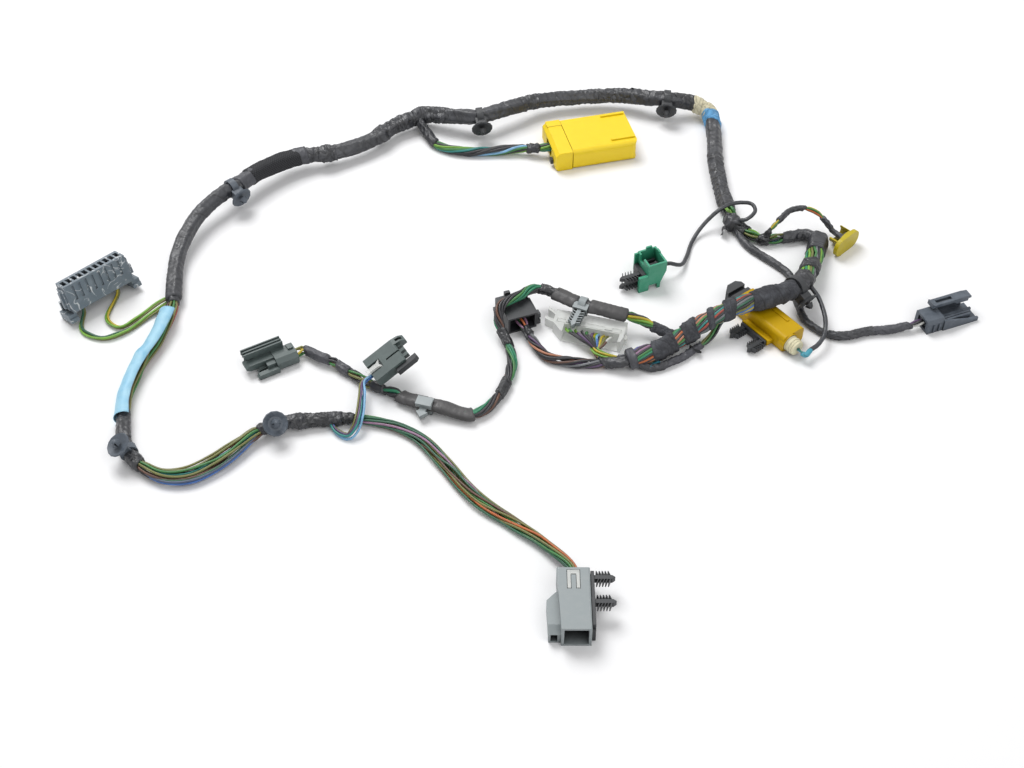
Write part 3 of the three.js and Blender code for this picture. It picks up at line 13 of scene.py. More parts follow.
import bpy
import numpy as np
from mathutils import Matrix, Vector


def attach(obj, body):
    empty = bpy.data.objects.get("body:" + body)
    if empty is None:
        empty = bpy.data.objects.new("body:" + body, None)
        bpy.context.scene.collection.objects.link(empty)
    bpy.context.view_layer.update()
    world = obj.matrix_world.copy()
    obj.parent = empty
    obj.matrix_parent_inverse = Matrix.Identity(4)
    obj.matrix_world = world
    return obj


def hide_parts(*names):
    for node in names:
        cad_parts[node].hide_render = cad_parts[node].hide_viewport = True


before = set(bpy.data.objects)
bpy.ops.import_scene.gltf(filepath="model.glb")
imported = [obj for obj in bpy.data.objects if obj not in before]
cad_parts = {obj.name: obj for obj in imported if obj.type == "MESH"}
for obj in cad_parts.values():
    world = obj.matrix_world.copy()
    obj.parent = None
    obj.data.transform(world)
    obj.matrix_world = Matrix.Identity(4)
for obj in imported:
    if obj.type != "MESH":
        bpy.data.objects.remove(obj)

LOG = logging.getLogger("harness")
Socket = bpy.types.NodeSocket
MM = 0.001
BODY = "root"
STRIP_MAP = "strip"
TINT = "tint"
WELD = 0.002
SHARP = 38
CLIP_SMOOTH = 35
FIRST_SEED = 100
SEED_STEP = 17

# The points that each bundle's centre line follows, from where it starts to where it ends, in millimetres.
ROUTE_POINTS = {
    "trunk_left": (
        (-233, 23, 6.5), (-236, 56, 8), (-233, 80, 11), (-224, 104, 14), (-212, 120, 15.6),
        (-201, 131, 15.6), (-187, 148, 14.5), (-162, 167, 12), (-139, 173, 10.5), (-113, 187, 9.5),
        (-94, 207, 9.5), (-80, 216, 10),
    ),
    "trunk_back": (
        (-79.7, 216.2, 10), (-74.5, 219.6, 10.2), (-49, 213, 14), (-30, 210, 15.6), (-11, 220, 15),
        (15, 235, 12), (46, 241, 11), (77, 241, 12), (98, 234, 15), (112, 232, 15.6), (132, 232, 12),
        (144, 226, 8), (146, 204, 6.3), (144, 170, 6), (145, 138, 6), (148, 114, 6), (150, 98, 6),
    ),
    "trunk_right": (
        (73, -34, 7), (91, -26, 7.5), (110, -13, 10), (129, -4, 16.5), (146, 2, 20.6), (162, 8, 20.6),
        (176, 15, 19.5), (188, 27, 17), (196, 45, 13), (203.5, 66, 9), (208, 82, 7),
    ),
    "label_bundle": (
        (-233, 22.7, 6.5), (-232.4, 16.4, 6.2), (-234, 2, 6), (-238, -17, 5.7), (-244, -34, 5.5),
        (-248, -52, 5.5), (-249, -71, 5.5), (-247, -86, 5.8), (-244, -102, 6.4), (-238, -115, 6.4),
        (-230, -123, 5), (-216, -130, 4.3), (-200, -129, 4.3), (-186, -120, 4.6), (-173, -107, 5.5),
        (-164, -98, 6.4), (-151, -90, 6.4), (-138, -87, 5.5), (-124, -85, 4.6), (-114, -84, 4.4),
    ),
    "front_branch": (
        (-113.7, -84, 4.4), (-108.7, -83.5, 4.3), (-94, -85, 3.6), (-75, -91, 3.3), (-60, -102, 3.3),
        (-47, -119, 3.3), (-34, -138, 3.3), (-19, -154, 3.3), (-4, -166, 3.3), (12, -180, 4.5),
        (28.3, -201.2, 8), (28.3, -207.9, 8),
    ),
    "rear_link": (
        (150.3, 101, 6), (160, 90, 5), (170, 84, 4.3), (185, 86, 4.3), (200, 88, 5), (207, 79, 7),
    ),
    "left_branch": (
        (-147.4, -28.3, 4.8), (-141.6, -25, 4.8), (-129, -32.5, 6), (-122, -35, 5), (-115, -40, 4.5),
        (-108.5, -45, 4), (-102, -50, 3.7), (-97, -53.5, 3.7), (-88.7, -58.4, 3.7), (-80, -61.5, 3.8),
        (-73.5, -66.5, 4.2), (-64, -71, 5.7), (-51, -75.3, 6), (-38.5, -79.5, 5), (-31.5, -80.5, 4.5),
        (-23, -76, 4), (-15.5, -66, 3.7), (-9.8, -53, 3.7), (-6.6, -41.7, 3.8), (-6.2, -31, 4.5),
        (-8.5, -20, 6), (-13, -10, 9), (-15, -3.5, 13), (-13.6, 3, 16.8), (-9.5, 7.5, 17.5),
        (-5, 10.5, 17.5), (-0.5, 13.5, 17.3), (4.5, 18.5, 17), (11, 21.5, 16), (18, 20.5, 15.2),
        (25, 16.5, 15.2), (33, 10.8, 15.5), (42, 6.4, 15.5), (50, 3.5, 15.2), (58.5, 0.8, 15),
        (68, -1.5, 14.2), (78.5, -4, 11.5), (89, -9, 9), (100, -16, 9),
    ),
    "black_branch": (
        (72.7, -34.1, 7), (65.6, -37.3, 6.8), (56, -36, 4.2), (46, -36, 3.6), (29, -34, 3.6),
        (16, -29, 3.8), (0.6, -1.1, 6.5), (-1.8, 5.2, 6.5),
    ),
    "clear_branch": (
        (49.6, -11.6, 5), (47.8, -18.1, 5), (48, -26, 5.2), (56, -31.5, 5.2), (64, -33, 5.8),
        (74, -33, 6),
    ),
    "parallel_branch": (
        (72, -35, 5), (84, -39, 2.7), (98, -33, 2.7), (112, -23, 2.7), (123, -14, 5), (131, -5, 12),
    ),
    "right_branch": (
        (150, 102, 5), (155, 87, 3), (161, 76, 2.8), (176, 60, 2.8), (184, 49, 2.8), (185, 34, 2.8),
        (186, 20, 2.8), (189, 5, 2.8), (198, -6, 2.8), (211, -10, 2.8), (227, -6, 2.8), (245, -4, 3.5),
        (259.9, -1, 5), (266.1, 1.4, 5),
    ),
    "rear_branch": (
        (170, 84, 5), (174, 85, 12), (182, 92, 17), (189, 99, 18), (200, 101, 18), (208, 98, 16.5),
        (214, 93, 12.5), (220, 88.5, 6.8), (224.7, 83.7, 6.8),
    ),
    "green_wire": (
        (150, 101, 8), (158, 95, 13), (165, 102, 14.6), (163, 110, 14.8), (153, 111, 14.8),
        (142, 106, 14), (130, 98, 7), (121, 86, 2), (115, 68, 2), (110, 57, 5), (100.6, 51.7, 11),
        (94.4, 49.1, 11),
    ),
    "sealed_wire": (
        (192, 26, 16), (197.5, 17, 13), (199.6, 9, 11), (200.4, 0, 9.4), (199.5, -8, 8.6),
        (197, -16, 7.8), (192.5, -22.5, 7), (187.5, -26.5, 6.6), (183.5, -31, 6.5), (179.5, -25.6, 6.5),
    ),
    "yellow_branch": (
        (-77, 216, 9), (-70, 203, 6), (-62, 191, 4), (-46, 184, 3.8), (-27, 183, 3.8), (-6, 184.5, 5),
        (20.5, 182.8, 8), (27, 184.4, 8),
    ),
    "panel_wires_a": (
        (-234, 24, 6.5), (-243, 19, 5), (-255, 7, 3), (-265, -1, 2), (-272, 2, 1.9), (-276, 8, 2),
        (-272.4, 31.2, 3.6), (-273.7, 32.6, 10),
    ),
    "panel_wires_b": (
        (-235, 22, 4), (-248, 10, 2), (-261, -5, 2), (-274, -11, 2), (-285, -8, 1.9), (-291, -1, 2),
        (-291.8, 12.4, 3.6), (-293.1, 13.8, 10),
    ),
    "tee_wires": (
        (-119, -86, 4), (-115, -93, 2.4), (-107, -97.5, 2.4), (-101.5, -93.5, 6.5), (-99.5, -86.5, 9.4),
        (-99, -77, 9.6), (-99, -68, 9.8), (-99.6, -57.2, 9.1), (-94.4, -54.2, 11.9),
    ),
}

ROUTES = {
    name: tuple(tuple(value / 1000 for value in point) for point in points)
    for name, points in ROUTE_POINTS.items()
}


def linear(code: str) -> tuple[float, float, float, float]:
    """Turns an sRGB colour to the linear one that shaders take.

    Args:
        code: Six hexadecimal digits.

    Returns:
        Red, green, blue and alpha.
    """
    channels = [int(code[at : at + 2], 16) / 255 for at in (0, 2, 4)]
    red, green, blue = (
        c / 12.92 if c <= 0.04045 else ((c + 0.055) / 1.055) ** 2.4 for c in channels
    )
    return red, green, blue, 1.0


def feed(tree: bpy.types.NodeTree, node: bpy.types.Node, inputs: dict[str | int, object]) -> None:
    """Links a node's inputs, or sets them.

    Args:
        tree: The node's tree.
        node: The node.
        inputs: For each input, by name or number, a value or the output to link to it.
    """
    for name, value in inputs.items():
        if isinstance(value, Socket):
            tree.links.new(value, node.inputs[name])
        else:
            node.inputs[name].default_value = value


def add_node(
    tree: bpy.types.NodeTree, kind: str, inputs: dict[str | int, object] | None = None, **settings: object
) -> bpy.types.Node:
    """Adds one node with its settings and links.

    Args:
        tree: The material's or world's node tree.
        kind: The node's type, without the words that all shader nodes' types start with.
        inputs: For each input, by name or number, a value or the output to link to it.
        **settings: Attributes set on the node.

    Returns:
        The new node.
    """
    node = tree.nodes.new(f"ShaderNode{kind}")
    for name, value in settings.items():
        setattr(node, name, value)
    feed(tree, node, inputs or {})
    return node


def per(size: float) -> float:
    """Gives the scale of a pattern whose cells are about this many millimetres wide."""
    return 1 / (size * MM)


class Graph:
    """A node tree, with short ways to add the nodes that the finishes share."""

    def __init__(self, tree: bpy.types.NodeTree) -> None:
        """Takes the node tree."""
        self.tree = tree

    def place(self) -> Socket:
        """Gives the object coordinates."""
        return add_node(self.tree, "TexCoord").outputs["Object"]

    def strip(self) -> Socket:
        """Gives the strip coordinates: turns round the piece, and metres along it."""
        return add_node(self.tree, "UVMap", uv_map=STRIP_MAP).outputs["UV"]

    def noise(self, vector: Socket, scale: float, detail: float, **more: float) -> Socket:
        """Adds a noise.

        Args:
            vector: Where the noise is read.
            scale: Its scale.
            detail: How many finer layers it has.
            **more: Its other inputs.

        Returns:
            Its values, from 0 to 1.
        """
        inputs = {"Vector": vector, "Scale": scale, "Detail": detail, **more}
        return add_node(self.tree, "TexNoise", inputs).outputs["Fac"]

    def ramp(self, value: Socket, low: float, high: float, first: float, last: float) -> Socket:
        """Turns a range of a value into another range.

        Args:
            value: The value.
            low: Where its range starts.
            high: Where its range ends.
            first: What the start becomes.
            last: What the end becomes.

        Returns:
            The new value.
        """
        return add_node(self.tree, "MapRange", {0: value, 1: low, 2: high, 3: first, 4: last}).outputs[0]

    def mix(self, share: Socket, first: Socket | str, second: Socket | str) -> Socket:
        """Mixes two colours.

        Args:
            share: How much of the second one shows.
            first: A colour, or its six digits.
            second: Another one.

        Returns:
            The mixed colour.
        """
        first, second = (linear(c) if isinstance(c, str) else c for c in (first, second))
        return add_node(self.tree, "Mix", {0: share, 6: first, 7: second}, data_type="RGBA").outputs[2]

    def calc(self, operation: str, *values: Socket | float) -> Socket:
        """Gives the result of one operation on numbers."""
        return add_node(self.tree, "Math", dict(enumerate(values)), operation=operation).outputs[0]

    def bump(self, height: Socket, strength: float, depth: float, below: Socket | None = None) -> Socket:
        """Turns heights into a bumpy normal.

        Args:
            height: The heights, from 0 to 1.
            strength: How strong the bumps are.
            depth: How deep they are, in millimetres.
            below: The normal that they lie on.

        Returns:
            The normal.
        """
        inputs = {"Strength": strength, "Distance": depth * MM, "Height": height}
        if below:
            inputs["Normal"] = below
        return add_node(self.tree, "Bump", inputs).outputs[0]


class Surface(Graph):
    """A material's node tree."""

    def __init__(self, name: str) -> None:
        """Makes an empty material of this name."""
        self.material = bpy.data.materials.new(name)
        self.material.use_nodes = True
        super().__init__(self.material.node_tree)
        self.shader = self.tree.nodes["Principled BSDF"]

    def finish(self, inputs: dict[str | int, object]) -> bpy.types.Material:
        """Feeds the surface shader and gives the material."""
        feed(self.tree, self.shader, inputs)
        return self.material


class WireColour(Enum):
    """Insulation colours of the thin wires."""

    BLACK = "26262a"
    GREY = "6f7276"
    WHITE = "d2d3cf"
    BROWN = "5a3c2e"
    RED = "9a4436"
    ORANGE = "b4602f"
    SALMON = "b47a5e"
    MAUVE = "96738e"
    PURPLE = "5c4668"
    YELLOW = "b9a526"
    OLIVE = "70713c"
    LIME = "74a43a"
    GREEN = "3a763c"
    EMERALD = "297a58"
    FOREST = "2c5c44"
    TEAL = "2c7f7a"
    SKY = "7fb0d4"
    BLUE = "3f6cb0"
    SLATE = "4e5a72"


@dataclass(frozen=True)
class WoundTape:
    """PVC harness tape, wound half over half by hand: dull skin, painted shade at each lap, small creases.
    """

    name: str
    colour: str
    lap_and_fold_shade_colour: str
    dust_colour: str
    roughness: float = 0.5
    lap: float = 9.0
    lap_shade: float = 0.75
    crease: float = 0.35
    dust: float = 0.25
    crumple: float = 0.0
    crumple_size: float = 5.5

    CRUMPLE_GIRTH = 30.0

    def crumpled(self, graph: Graph, strip: Socket, colour: Socket) -> tuple[Socket, Socket]:
        """Folds the tape sharply where it was pulled round a knot: flat facets with painted shade in the
        valleys.

        Args:
            graph: The material's nodes.
            strip: The strip coordinates.
            colour: The tape's colour before.

        Returns:
            The colour with the valleys, and the height of the folds.
        """
        stretch = (self.CRUMPLE_GIRTH / self.crumple_size, per(self.crumple_size), 1.0)
        cells = add_node(graph.tree, "Mapping", {"Vector": strip, "Scale": stretch}).outputs[0]
        bend = add_node(graph.tree, "TexNoise", {"Vector": cells, "Scale": 0.8, "Detail": 2.0})
        moved = add_node(graph.tree, "VectorMath", {0: cells, 1: bend.outputs["Color"]}, operation="ADD")
        folds = add_node(
            graph.tree,
            "TexVoronoi",
            {"Vector": moved.outputs[0], "Scale": 1.0},
            feature="DISTANCE_TO_EDGE",
        ).outputs["Distance"]
        # Painted shade: the colour darkens towards the tape's dark lap colour down in the fold valleys.
        fold_shade = graph.ramp(folds, 0.0, 0.13, self.crumple, 0.0)
        return graph.mix(fold_shade, colour, self.lap_and_fold_shade_colour), graph.ramp(folds, 0.0, 0.5, 0.0, 1.0)

    def build(self) -> bpy.types.Material:
        """Makes the material.

        Returns:
            The material.
        """
        graph = Surface(self.name)
        strip = graph.strip()
        place = graph.place()
        split = add_node(graph.tree, "SeparateXYZ", {0: strip}).outputs
        turns = graph.calc("MULTIPLY_ADD", split["Y"], per(self.lap), split["X"])
        # Painted shade: a dark line along the step where each lap of tape ends.
        line = graph.ramp(graph.calc("FRACT", turns), 0.0, 0.1, 1.0, 0.0)
        # Creases run nearly round the bundle, 2 to 4 mm apart.
        stretched = add_node(
            graph.tree,
            "Mapping",
            {"Vector": strip, "Rotation": (0.0, 0.0, 0.002), "Scale": (5.0, per(3.4), 1.0)},
        ).outputs[0]
        creases = graph.noise(stretched, 1.0, 4.0, Distortion=0.9)
        skin = graph.noise(place, per(0.9), 3.0, Roughness=0.65)
        dusty = graph.ramp(graph.noise(place, per(13), 3.0), 0.42, 0.72, 0.0, self.dust)
        lap_shade_share = graph.calc("MULTIPLY", line, self.lap_shade)
        colour = graph.mix(lap_shade_share, graph.mix(dusty, self.colour, self.dust_colour), self.lap_and_fold_shade_colour)
        normal = graph.bump(creases, self.crease, 0.7)
        if self.crumple:
            colour, folds = self.crumpled(graph, strip, colour)
            normal = graph.bump(folds, self.crumple, 2.2, normal)
        return graph.finish(
            {
                "Base Color": colour,
                "Roughness": graph.ramp(creases, 0.35, 0.65, self.roughness - 0.08, self.roughness + 0.12),
                "Normal": graph.bump(skin, 0.35, 0.12, normal),
                "IOR": 1.52,
            }
        )


@dataclass(frozen=True)
class WovenSleeve:
    """PET cloth tape, plain weave: a dark, dull, ribbed grid of threads, with painted shade between them.
    """

    name: str = "pet_cloth_tape_woven"
    thread_colour: str = "2f3035"
    gap_shade_colour: str = "060709"
    thread: float = 1.9
    threads_around: int = 18
    roughness: float = 0.82

    def build(self) -> bpy.types.Material:
        """Makes the material. The real threads are 0.3 mm apart, and are drawn coarser so that they show.

        Returns:
            The material.
        """
        graph = Surface(self.name)
        split = add_node(graph.tree, "SeparateXYZ", {0: graph.strip()}).outputs
        rates = (("X", 2 * math.pi * self.threads_around), ("Y", 2 * math.pi / (self.thread * MM)))
        waves = [graph.calc("SINE", graph.calc("MULTIPLY", split[axis], rate)) for axis, rate in rates]
        height = graph.ramp(graph.calc("MULTIPLY", *waves), -0.6, 0.8, 0.0, 1.0)
        return graph.finish(
            {
                # Painted shade: the colour darkens to the gap colour where the weave sinks between the
                # threads.
                "Base Color": graph.mix(height, self.gap_shade_colour, self.thread_colour),
                "Normal": graph.bump(height, 0.7, 0.3),
                "Roughness": self.roughness,
            }
        )


@dataclass(frozen=True)
class WireInsulation:
    """Extruded PVC insulation in the wire's own colour: smooth, half glossy, a little rubbed."""

    name: str = "pvc_insulation_extruded"
    roughness: float = 0.4

    def build(self) -> bpy.types.Material:
        """Makes the material, which takes each wire's colour from the piece's tint.

        Returns:
            The material.
        """
        graph = Surface(self.name)
        tint = add_node(graph.tree, "Attribute", attribute_name=TINT).outputs["Color"]
        place = graph.place()
        rubbed = graph.noise(place, per(7), 3.0)
        shade = graph.ramp(rubbed, 0.3, 0.7, 0.82, 1.16)
        colour = add_node(graph.tree, "VectorMath", {0: tint, "Scale": shade}, operation="SCALE")
        return graph.finish(
            {
                "Base Color": colour.outputs[0],
                "Roughness": graph.ramp(rubbed, 0.3, 0.7, self.roughness - 0.06, self.roughness + 0.14),
                "Normal": graph.bump(graph.noise(place, per(0.8), 2.0), 0.2, 0.06),
                "IOR": 1.53,
            }
        )


@dataclass(frozen=True)
class MouldedPlastic:
    """Injection-moulded PA or PBT: fine spark-eroded grain, soft gloss, dust and rub marks, painted shade
    in recesses.
    """

    name: str
    colour: str
    rub_colour: str
    roughness: float = 0.46
    rub: float = 0.35
    grain: float = 0.5
    chalk: float = 0.0
    chalk_colour: str = "dde0e2"
    recess_shade: float = 0.75
    recess_shade_colour: str = "1c1d1f"
    recess: float = 9.0
    gleam: float = 0.5

    def build(self) -> bpy.types.Material:
        """Makes the material.

        Returns:
            The material.
        """
        graph = Surface(self.name)
        place = graph.place()
        blotches = graph.noise(place, per(6), 4.0, Roughness=0.6)
        share = graph.ramp(blotches, 0.45, 0.75, 0.0, self.rub)
        colour = graph.mix(share, self.colour, self.rub_colour)
        if self.chalk:
            colour = self.chalked(graph, place, colour)
        return graph.finish(
            {
                "Base Color": self.with_recess_shade(graph, colour),
                "Roughness": graph.ramp(blotches, 0.3, 0.7, self.roughness - 0.07, self.roughness + 0.13),
                "Normal": graph.bump(graph.noise(place, per(self.grain), 2.0), 0.3, 0.05),
                "IOR": 1.54,
                "Specular IOR Level": self.gleam,
            }
        )

    def with_recess_shade(self, graph: Graph, colour: Socket) -> Socket:
        """Paints shade into the grooves and the deep sockets, where little light falls.

        Args:
            graph: The material's nodes.
            colour: The colour of the open faces.

        Returns:
            The colour with painted shade in the recesses.
        """
        # Painted shade: ambient occlusion darkens the colour in grooves and sockets.
        shelter = add_node(graph.tree, "AmbientOcclusion", {"Distance": self.recess * MM}, samples=8)
        depth = graph.ramp(shelter.outputs["AO"], 0.15, 0.66, self.recess_shade, 0.0)
        return graph.mix(depth, colour, self.recess_shade_colour)

    def chalked(self, graph: Graph, place: Socket, colour: Socket) -> Socket:
        """Lays white rub marks, thin curved streaks, over the colour.

        Args:
            graph: The material's nodes.
            place: The object coordinates.
            colour: The colour below the streaks.

        Returns:
            The colour with the streaks.
        """
        bent = graph.noise(place, per(16), 1.0, Distortion=1.6)
        fold = graph.calc("PINGPONG", graph.calc("MULTIPLY", bent, 9.0), 1.0)
        streak = graph.ramp(fold, 0.8, 0.97, 0.0, 1.0)
        patch = graph.ramp(graph.noise(place, per(5), 3.0), 0.45, 0.56, 0.0, self.chalk)
        return graph.mix(graph.calc("MULTIPLY", streak, patch), colour, self.chalk_colour)


@dataclass(frozen=True)
class CloudedFinish:
    """A finish whose tone, gloss and height all follow one soft noise."""

    name: str
    colour: str
    cloud_colour: str
    roughness: float
    cloud: float
    strength: float
    depth: float
    distortion: float = 0.0
    more: tuple[tuple[str, float], ...] = ()

    def build(self) -> bpy.types.Material:
        """Makes the material.

        Returns:
            The material.
        """
        graph = Surface(self.name)
        cloud = graph.noise(graph.place(), per(self.cloud), 3.0, Distortion=self.distortion)
        return graph.finish(
            {
                "Base Color": graph.mix(cloud, self.colour, self.cloud_colour),
                "Roughness": graph.ramp(cloud, 0.3, 0.7, self.roughness, self.roughness + 0.2),
                "Normal": graph.bump(cloud, self.strength, self.depth),
                **dict(self.more),
            }
        )


# Natural polypropylene, moulded: milky, what lies behind shows through it, soft gloss.
CLEAR_PLASTIC = CloudedFinish(
    "natural_polypropylene_moulded", "f0f1ee", "e4e7e4", 0.3, 4.0, 0.25, 0.08, 0.0,
    (("Alpha", 0.56), ("IOR", 1.49)),
)

# Coated label film in light blue, left bare: smooth, slightly glossy, a few soft folds.
COATED_FILM = CloudedFinish("label_film_coated", "6fb0d2", "b4dbe9", 0.38, 9.0, 0.4, 0.5, 0.6)


class Tape(Enum):
    """The tapes and sheaths on the bundles."""

    # In each wound tape the second colour is painted shade: a line along each lap's step, and the valleys
    # of the crumpled folds.
    VINYL = WoundTape(
        "pvc_tape_wound_dark_grey", "303135", "0f1013", "5a5c62", 0.4, 21.0, crease=0.6, dust=0.3,
        crumple=0.25, crumple_size=9.0,
    )
    KNOT = WoundTape(
        "pvc_tape_crumpled_grey", "37383c", "0d0e10", "55575d", 0.38, crease=0.7, crumple=0.65,
        crumple_size=8.0,
    )
    LILAC = WoundTape(
        "pvc_tape_wound_lilac_grey", "404147", "1a1b1f", "5c5d65", 0.45, 17.0, lap_shade=0.6, crease=0.5,
        dust=0.3, crumple=0.25, crumple_size=8.0,
    )
    GLOSS = WoundTape(
        "pvc_tape_crumpled_black", "26272a", "0b0c0e", "44464b", 0.34, crease=0.6, crumple=0.5,
        crumple_size=7.0,
    )
    FRICTION = WoundTape(
        "fleece_tape_wound", "36373c", "17181b", "63666c", 0.85, 14.0, lap_shade=0.6, crease=0.7,
        dust=0.5, crumple=0.35, crumple_size=3.0,
    )
    MASKING = WoundTape(
        "paper_tape_wound_cream", "dad3b6", "5e5034", "b7ac8a", 0.75, 6.0, lap_shade=0.8, crease=0.7,
        crumple=0.35,
    )
    BLUE = WoundTape("cloth_tape_wound_blue", "5d9dcc", "2c5a86", "a9cde4", 0.7, 5.0, crumple=0.45)
    FLAT = WoundTape(
        "pvc_tape_folded_flat", "3b3a3b", "2c2b2d", "5c5a5a", 0.5, lap=40.0, lap_shade=0.2, crease=0.15
    )
    TEAL = WoundTape("pvc_tape_wound_teal", "3a93a8", "1f5a68", "7ab4bf", 0.5)
    SHEATH = WoundTape(
        "pvc_sheath_extruded", "303236", "222428", "4c4f55", 0.38, 30.0, lap_shade=0.3, crease=0.12
    )
    CLOTH = WovenSleeve()
    WIRES = WireInsulation()


class Plastic(Enum):
    """The moulded parts' materials, by the record's slot."""

    # Each moulding's recess settings give the strength and colour of painted shade in its grooves and
    # sockets.
    SLATE = MouldedPlastic("pbt_moulded_slate", "4a525c", "7c848e")
    SLATE_WORN = MouldedPlastic("pbt_moulded_slate_scuffed", "6a757e", "98a0a6", chalk=0.9)
    GREY = MouldedPlastic("pbt_moulded_light_grey", "8d9597", "a9adad", recess_shade=0.9, recess=18.0)
    GREEN_GREY = MouldedPlastic("pbt_moulded_green_grey", "485453", "6f7a78")
    BLACK = MouldedPlastic("pa_moulded_black", "282a2d", "4f5256")
    YELLOW = MouldedPlastic(
        "pbt_moulded_yellow", "f0cf00", "f6da1c", 0.42, recess_shade=0.5, recess_shade_colour="6b5200"
    )
    OLIVE = MouldedPlastic(
        "pbt_moulded_olive_yellow", "b9a704", "c4b31c", 0.42, recess_shade=0.5, recess_shade_colour="4d4300"
    )
    AMBER = MouldedPlastic(
        "pbt_moulded_amber", "c29c00", "cea606", 0.42, recess_shade=0.5, recess_shade_colour="4f3800", gleam=0.22
    )
    GREEN = MouldedPlastic(
        "pbt_moulded_green", "339573", "6bb098", 0.4, recess_shade=0.7, recess_shade_colour="0b3526"
    )
    CREAM = MouldedPlastic("silicone_moulded_cream", "ded7b4", "efe9cf", 0.55)
    CLEAR = CLEAR_PLASTIC


def add_object(name: str, data: bpy.types.ID) -> bpy.types.Object:
    """Puts an object of this name and data into the scene."""
    thing = bpy.data.objects.new(name, data)
    bpy.context.scene.collection.objects.link(thing)
    return thing


def edit(piece: bpy.types.Object, work: Callable[[], object]) -> None:
    """Does one job on the whole mesh of a piece.

    Args:
        piece: The piece, which is left as the active one.
        work: The job.
    """
    bpy.ops.object.select_all(action="DESELECT")
    piece.select_set(True)
    bpy.context.view_layer.objects.active = piece
    bpy.ops.object.mode_set(mode="EDIT")
    bpy.ops.mesh.select_all(action="SELECT")
    work()
    bpy.ops.object.mode_set(mode="OBJECT")


def soften(part: bpy.types.Object, width: float) -> bpy.types.Modifier:
    """Rounds a moulded part's sharp edges.

    Args:
        part: The part.
        width: How wide the rounding is, in millimetres.

    Returns:
        The modifier that does it.
    """
    edges = part.modifiers.new("soft_edges", "BEVEL")
    edges.width = width * MM
    edges.segments = 2
    edges.limit_method = "ANGLE"
    edges.angle_limit = math.radians(SHARP)
    return edges


class Finishes:
    """Makes each finish's material once."""

    def __init__(self) -> None:
        """Starts with no material made."""
        self.made: dict[Enum, bpy.types.Material] = {}

    def material(self, finish: Enum) -> bpy.types.Material:
        """Gives the material of a finish.

        Args:
            finish: A tape or a plastic.

        Returns:
            The material.
        """
        if finish not in self.made:
            self.made[finish] = finish.value.build()
        return self.made[finish]


class Route:
    """A smooth line through a bundle's route points, measured in millimetres along it."""

    SAMPLES = 48
    SIGHT = 0.6
    STEEP = 0.2

    def __init__(self, points: tuple[tuple[float, float, float], ...]) -> None:
        """Draws the line.

        Args:
            points: The route points, in metres.
        """
        knots = np.array(points, float)
        ends = np.vstack([2 * knots[0] - knots[1], knots, 2 * knots[-1] - knots[-2]])
        line = [self.span(*ends[at : at + 4]) for at in range(len(knots) - 1)]
        self.line = np.vstack([*line, knots[-1:]])
        steps = np.linalg.norm(np.diff(self.line, axis=0), axis=1)
        self.marks = np.concatenate([[0.0], np.cumsum(steps)]) / MM
        self.length = float(self.marks[-1])

    def span(self, a: np.ndarray, b: np.ndarray, c: np.ndarray, d: np.ndarray) -> np.ndarray:
        """Draws the line between two neighbouring points.

        Args:
            a: The point before.
            b: The point where the span starts.
            c: The point where it ends.
            d: The point after.

        Returns:
            The points of the span, without its last one.
        """
        first, middle, last = (
            max(float(np.linalg.norm(q - p)) ** 0.5, 1e-6) for p, q in ((a, b), (b, c), (c, d))
        )
        leave = ((b - a) / first - (c - a) / (first + middle)) * middle + (c - b)
        reach = ((d - c) / last - (d - b) / (middle + last)) * middle + (c - b)
        t = np.linspace(0, 1, self.SAMPLES, endpoint=False)[:, None]
        square = -3 * b + 3 * c - 2 * leave - reach
        cube = 2 * b - 2 * c + leave + reach
        return b + leave * t + square * t**2 + cube * t**3

    def at(self, marks: np.ndarray) -> tuple[np.ndarray, ...]:
        """Finds places on the line, and goes straight on past its ends.

        Args:
            marks: Millimetres along the line.

        Returns:
            The places, and there the directions along, to the side and up.
        """
        kept = np.clip(marks, 0.0, self.length)
        places = self.read(kept)
        ahead = self.read(np.clip(kept + self.SIGHT, 0, self.length))
        behind = self.read(np.clip(kept - self.SIGHT, 0, self.length))
        along = ahead - behind
        along /= np.linalg.norm(along, axis=1)[:, None]
        places = places + along * ((marks - kept) * MM)[:, None]
        side = np.cross(along, (0.0, 0.0, 1.0))
        size = np.linalg.norm(side, axis=1)
        for index in range(len(side)):
            if size[index] < self.STEEP and index:
                turned = side[index - 1] - along[index] * float(side[index - 1] @ along[index])
                side[index] = turned / np.linalg.norm(turned)
            else:
                side[index] /= max(size[index], 1e-9)
        return places, along, side, np.cross(side, along)

    def read(self, marks: np.ndarray) -> np.ndarray:
        """Gives the places at these millimetres along the line."""
        columns = [np.interp(marks, self.marks, self.line[:, axis]) for axis in range(3)]
        return np.stack(columns, axis=1)


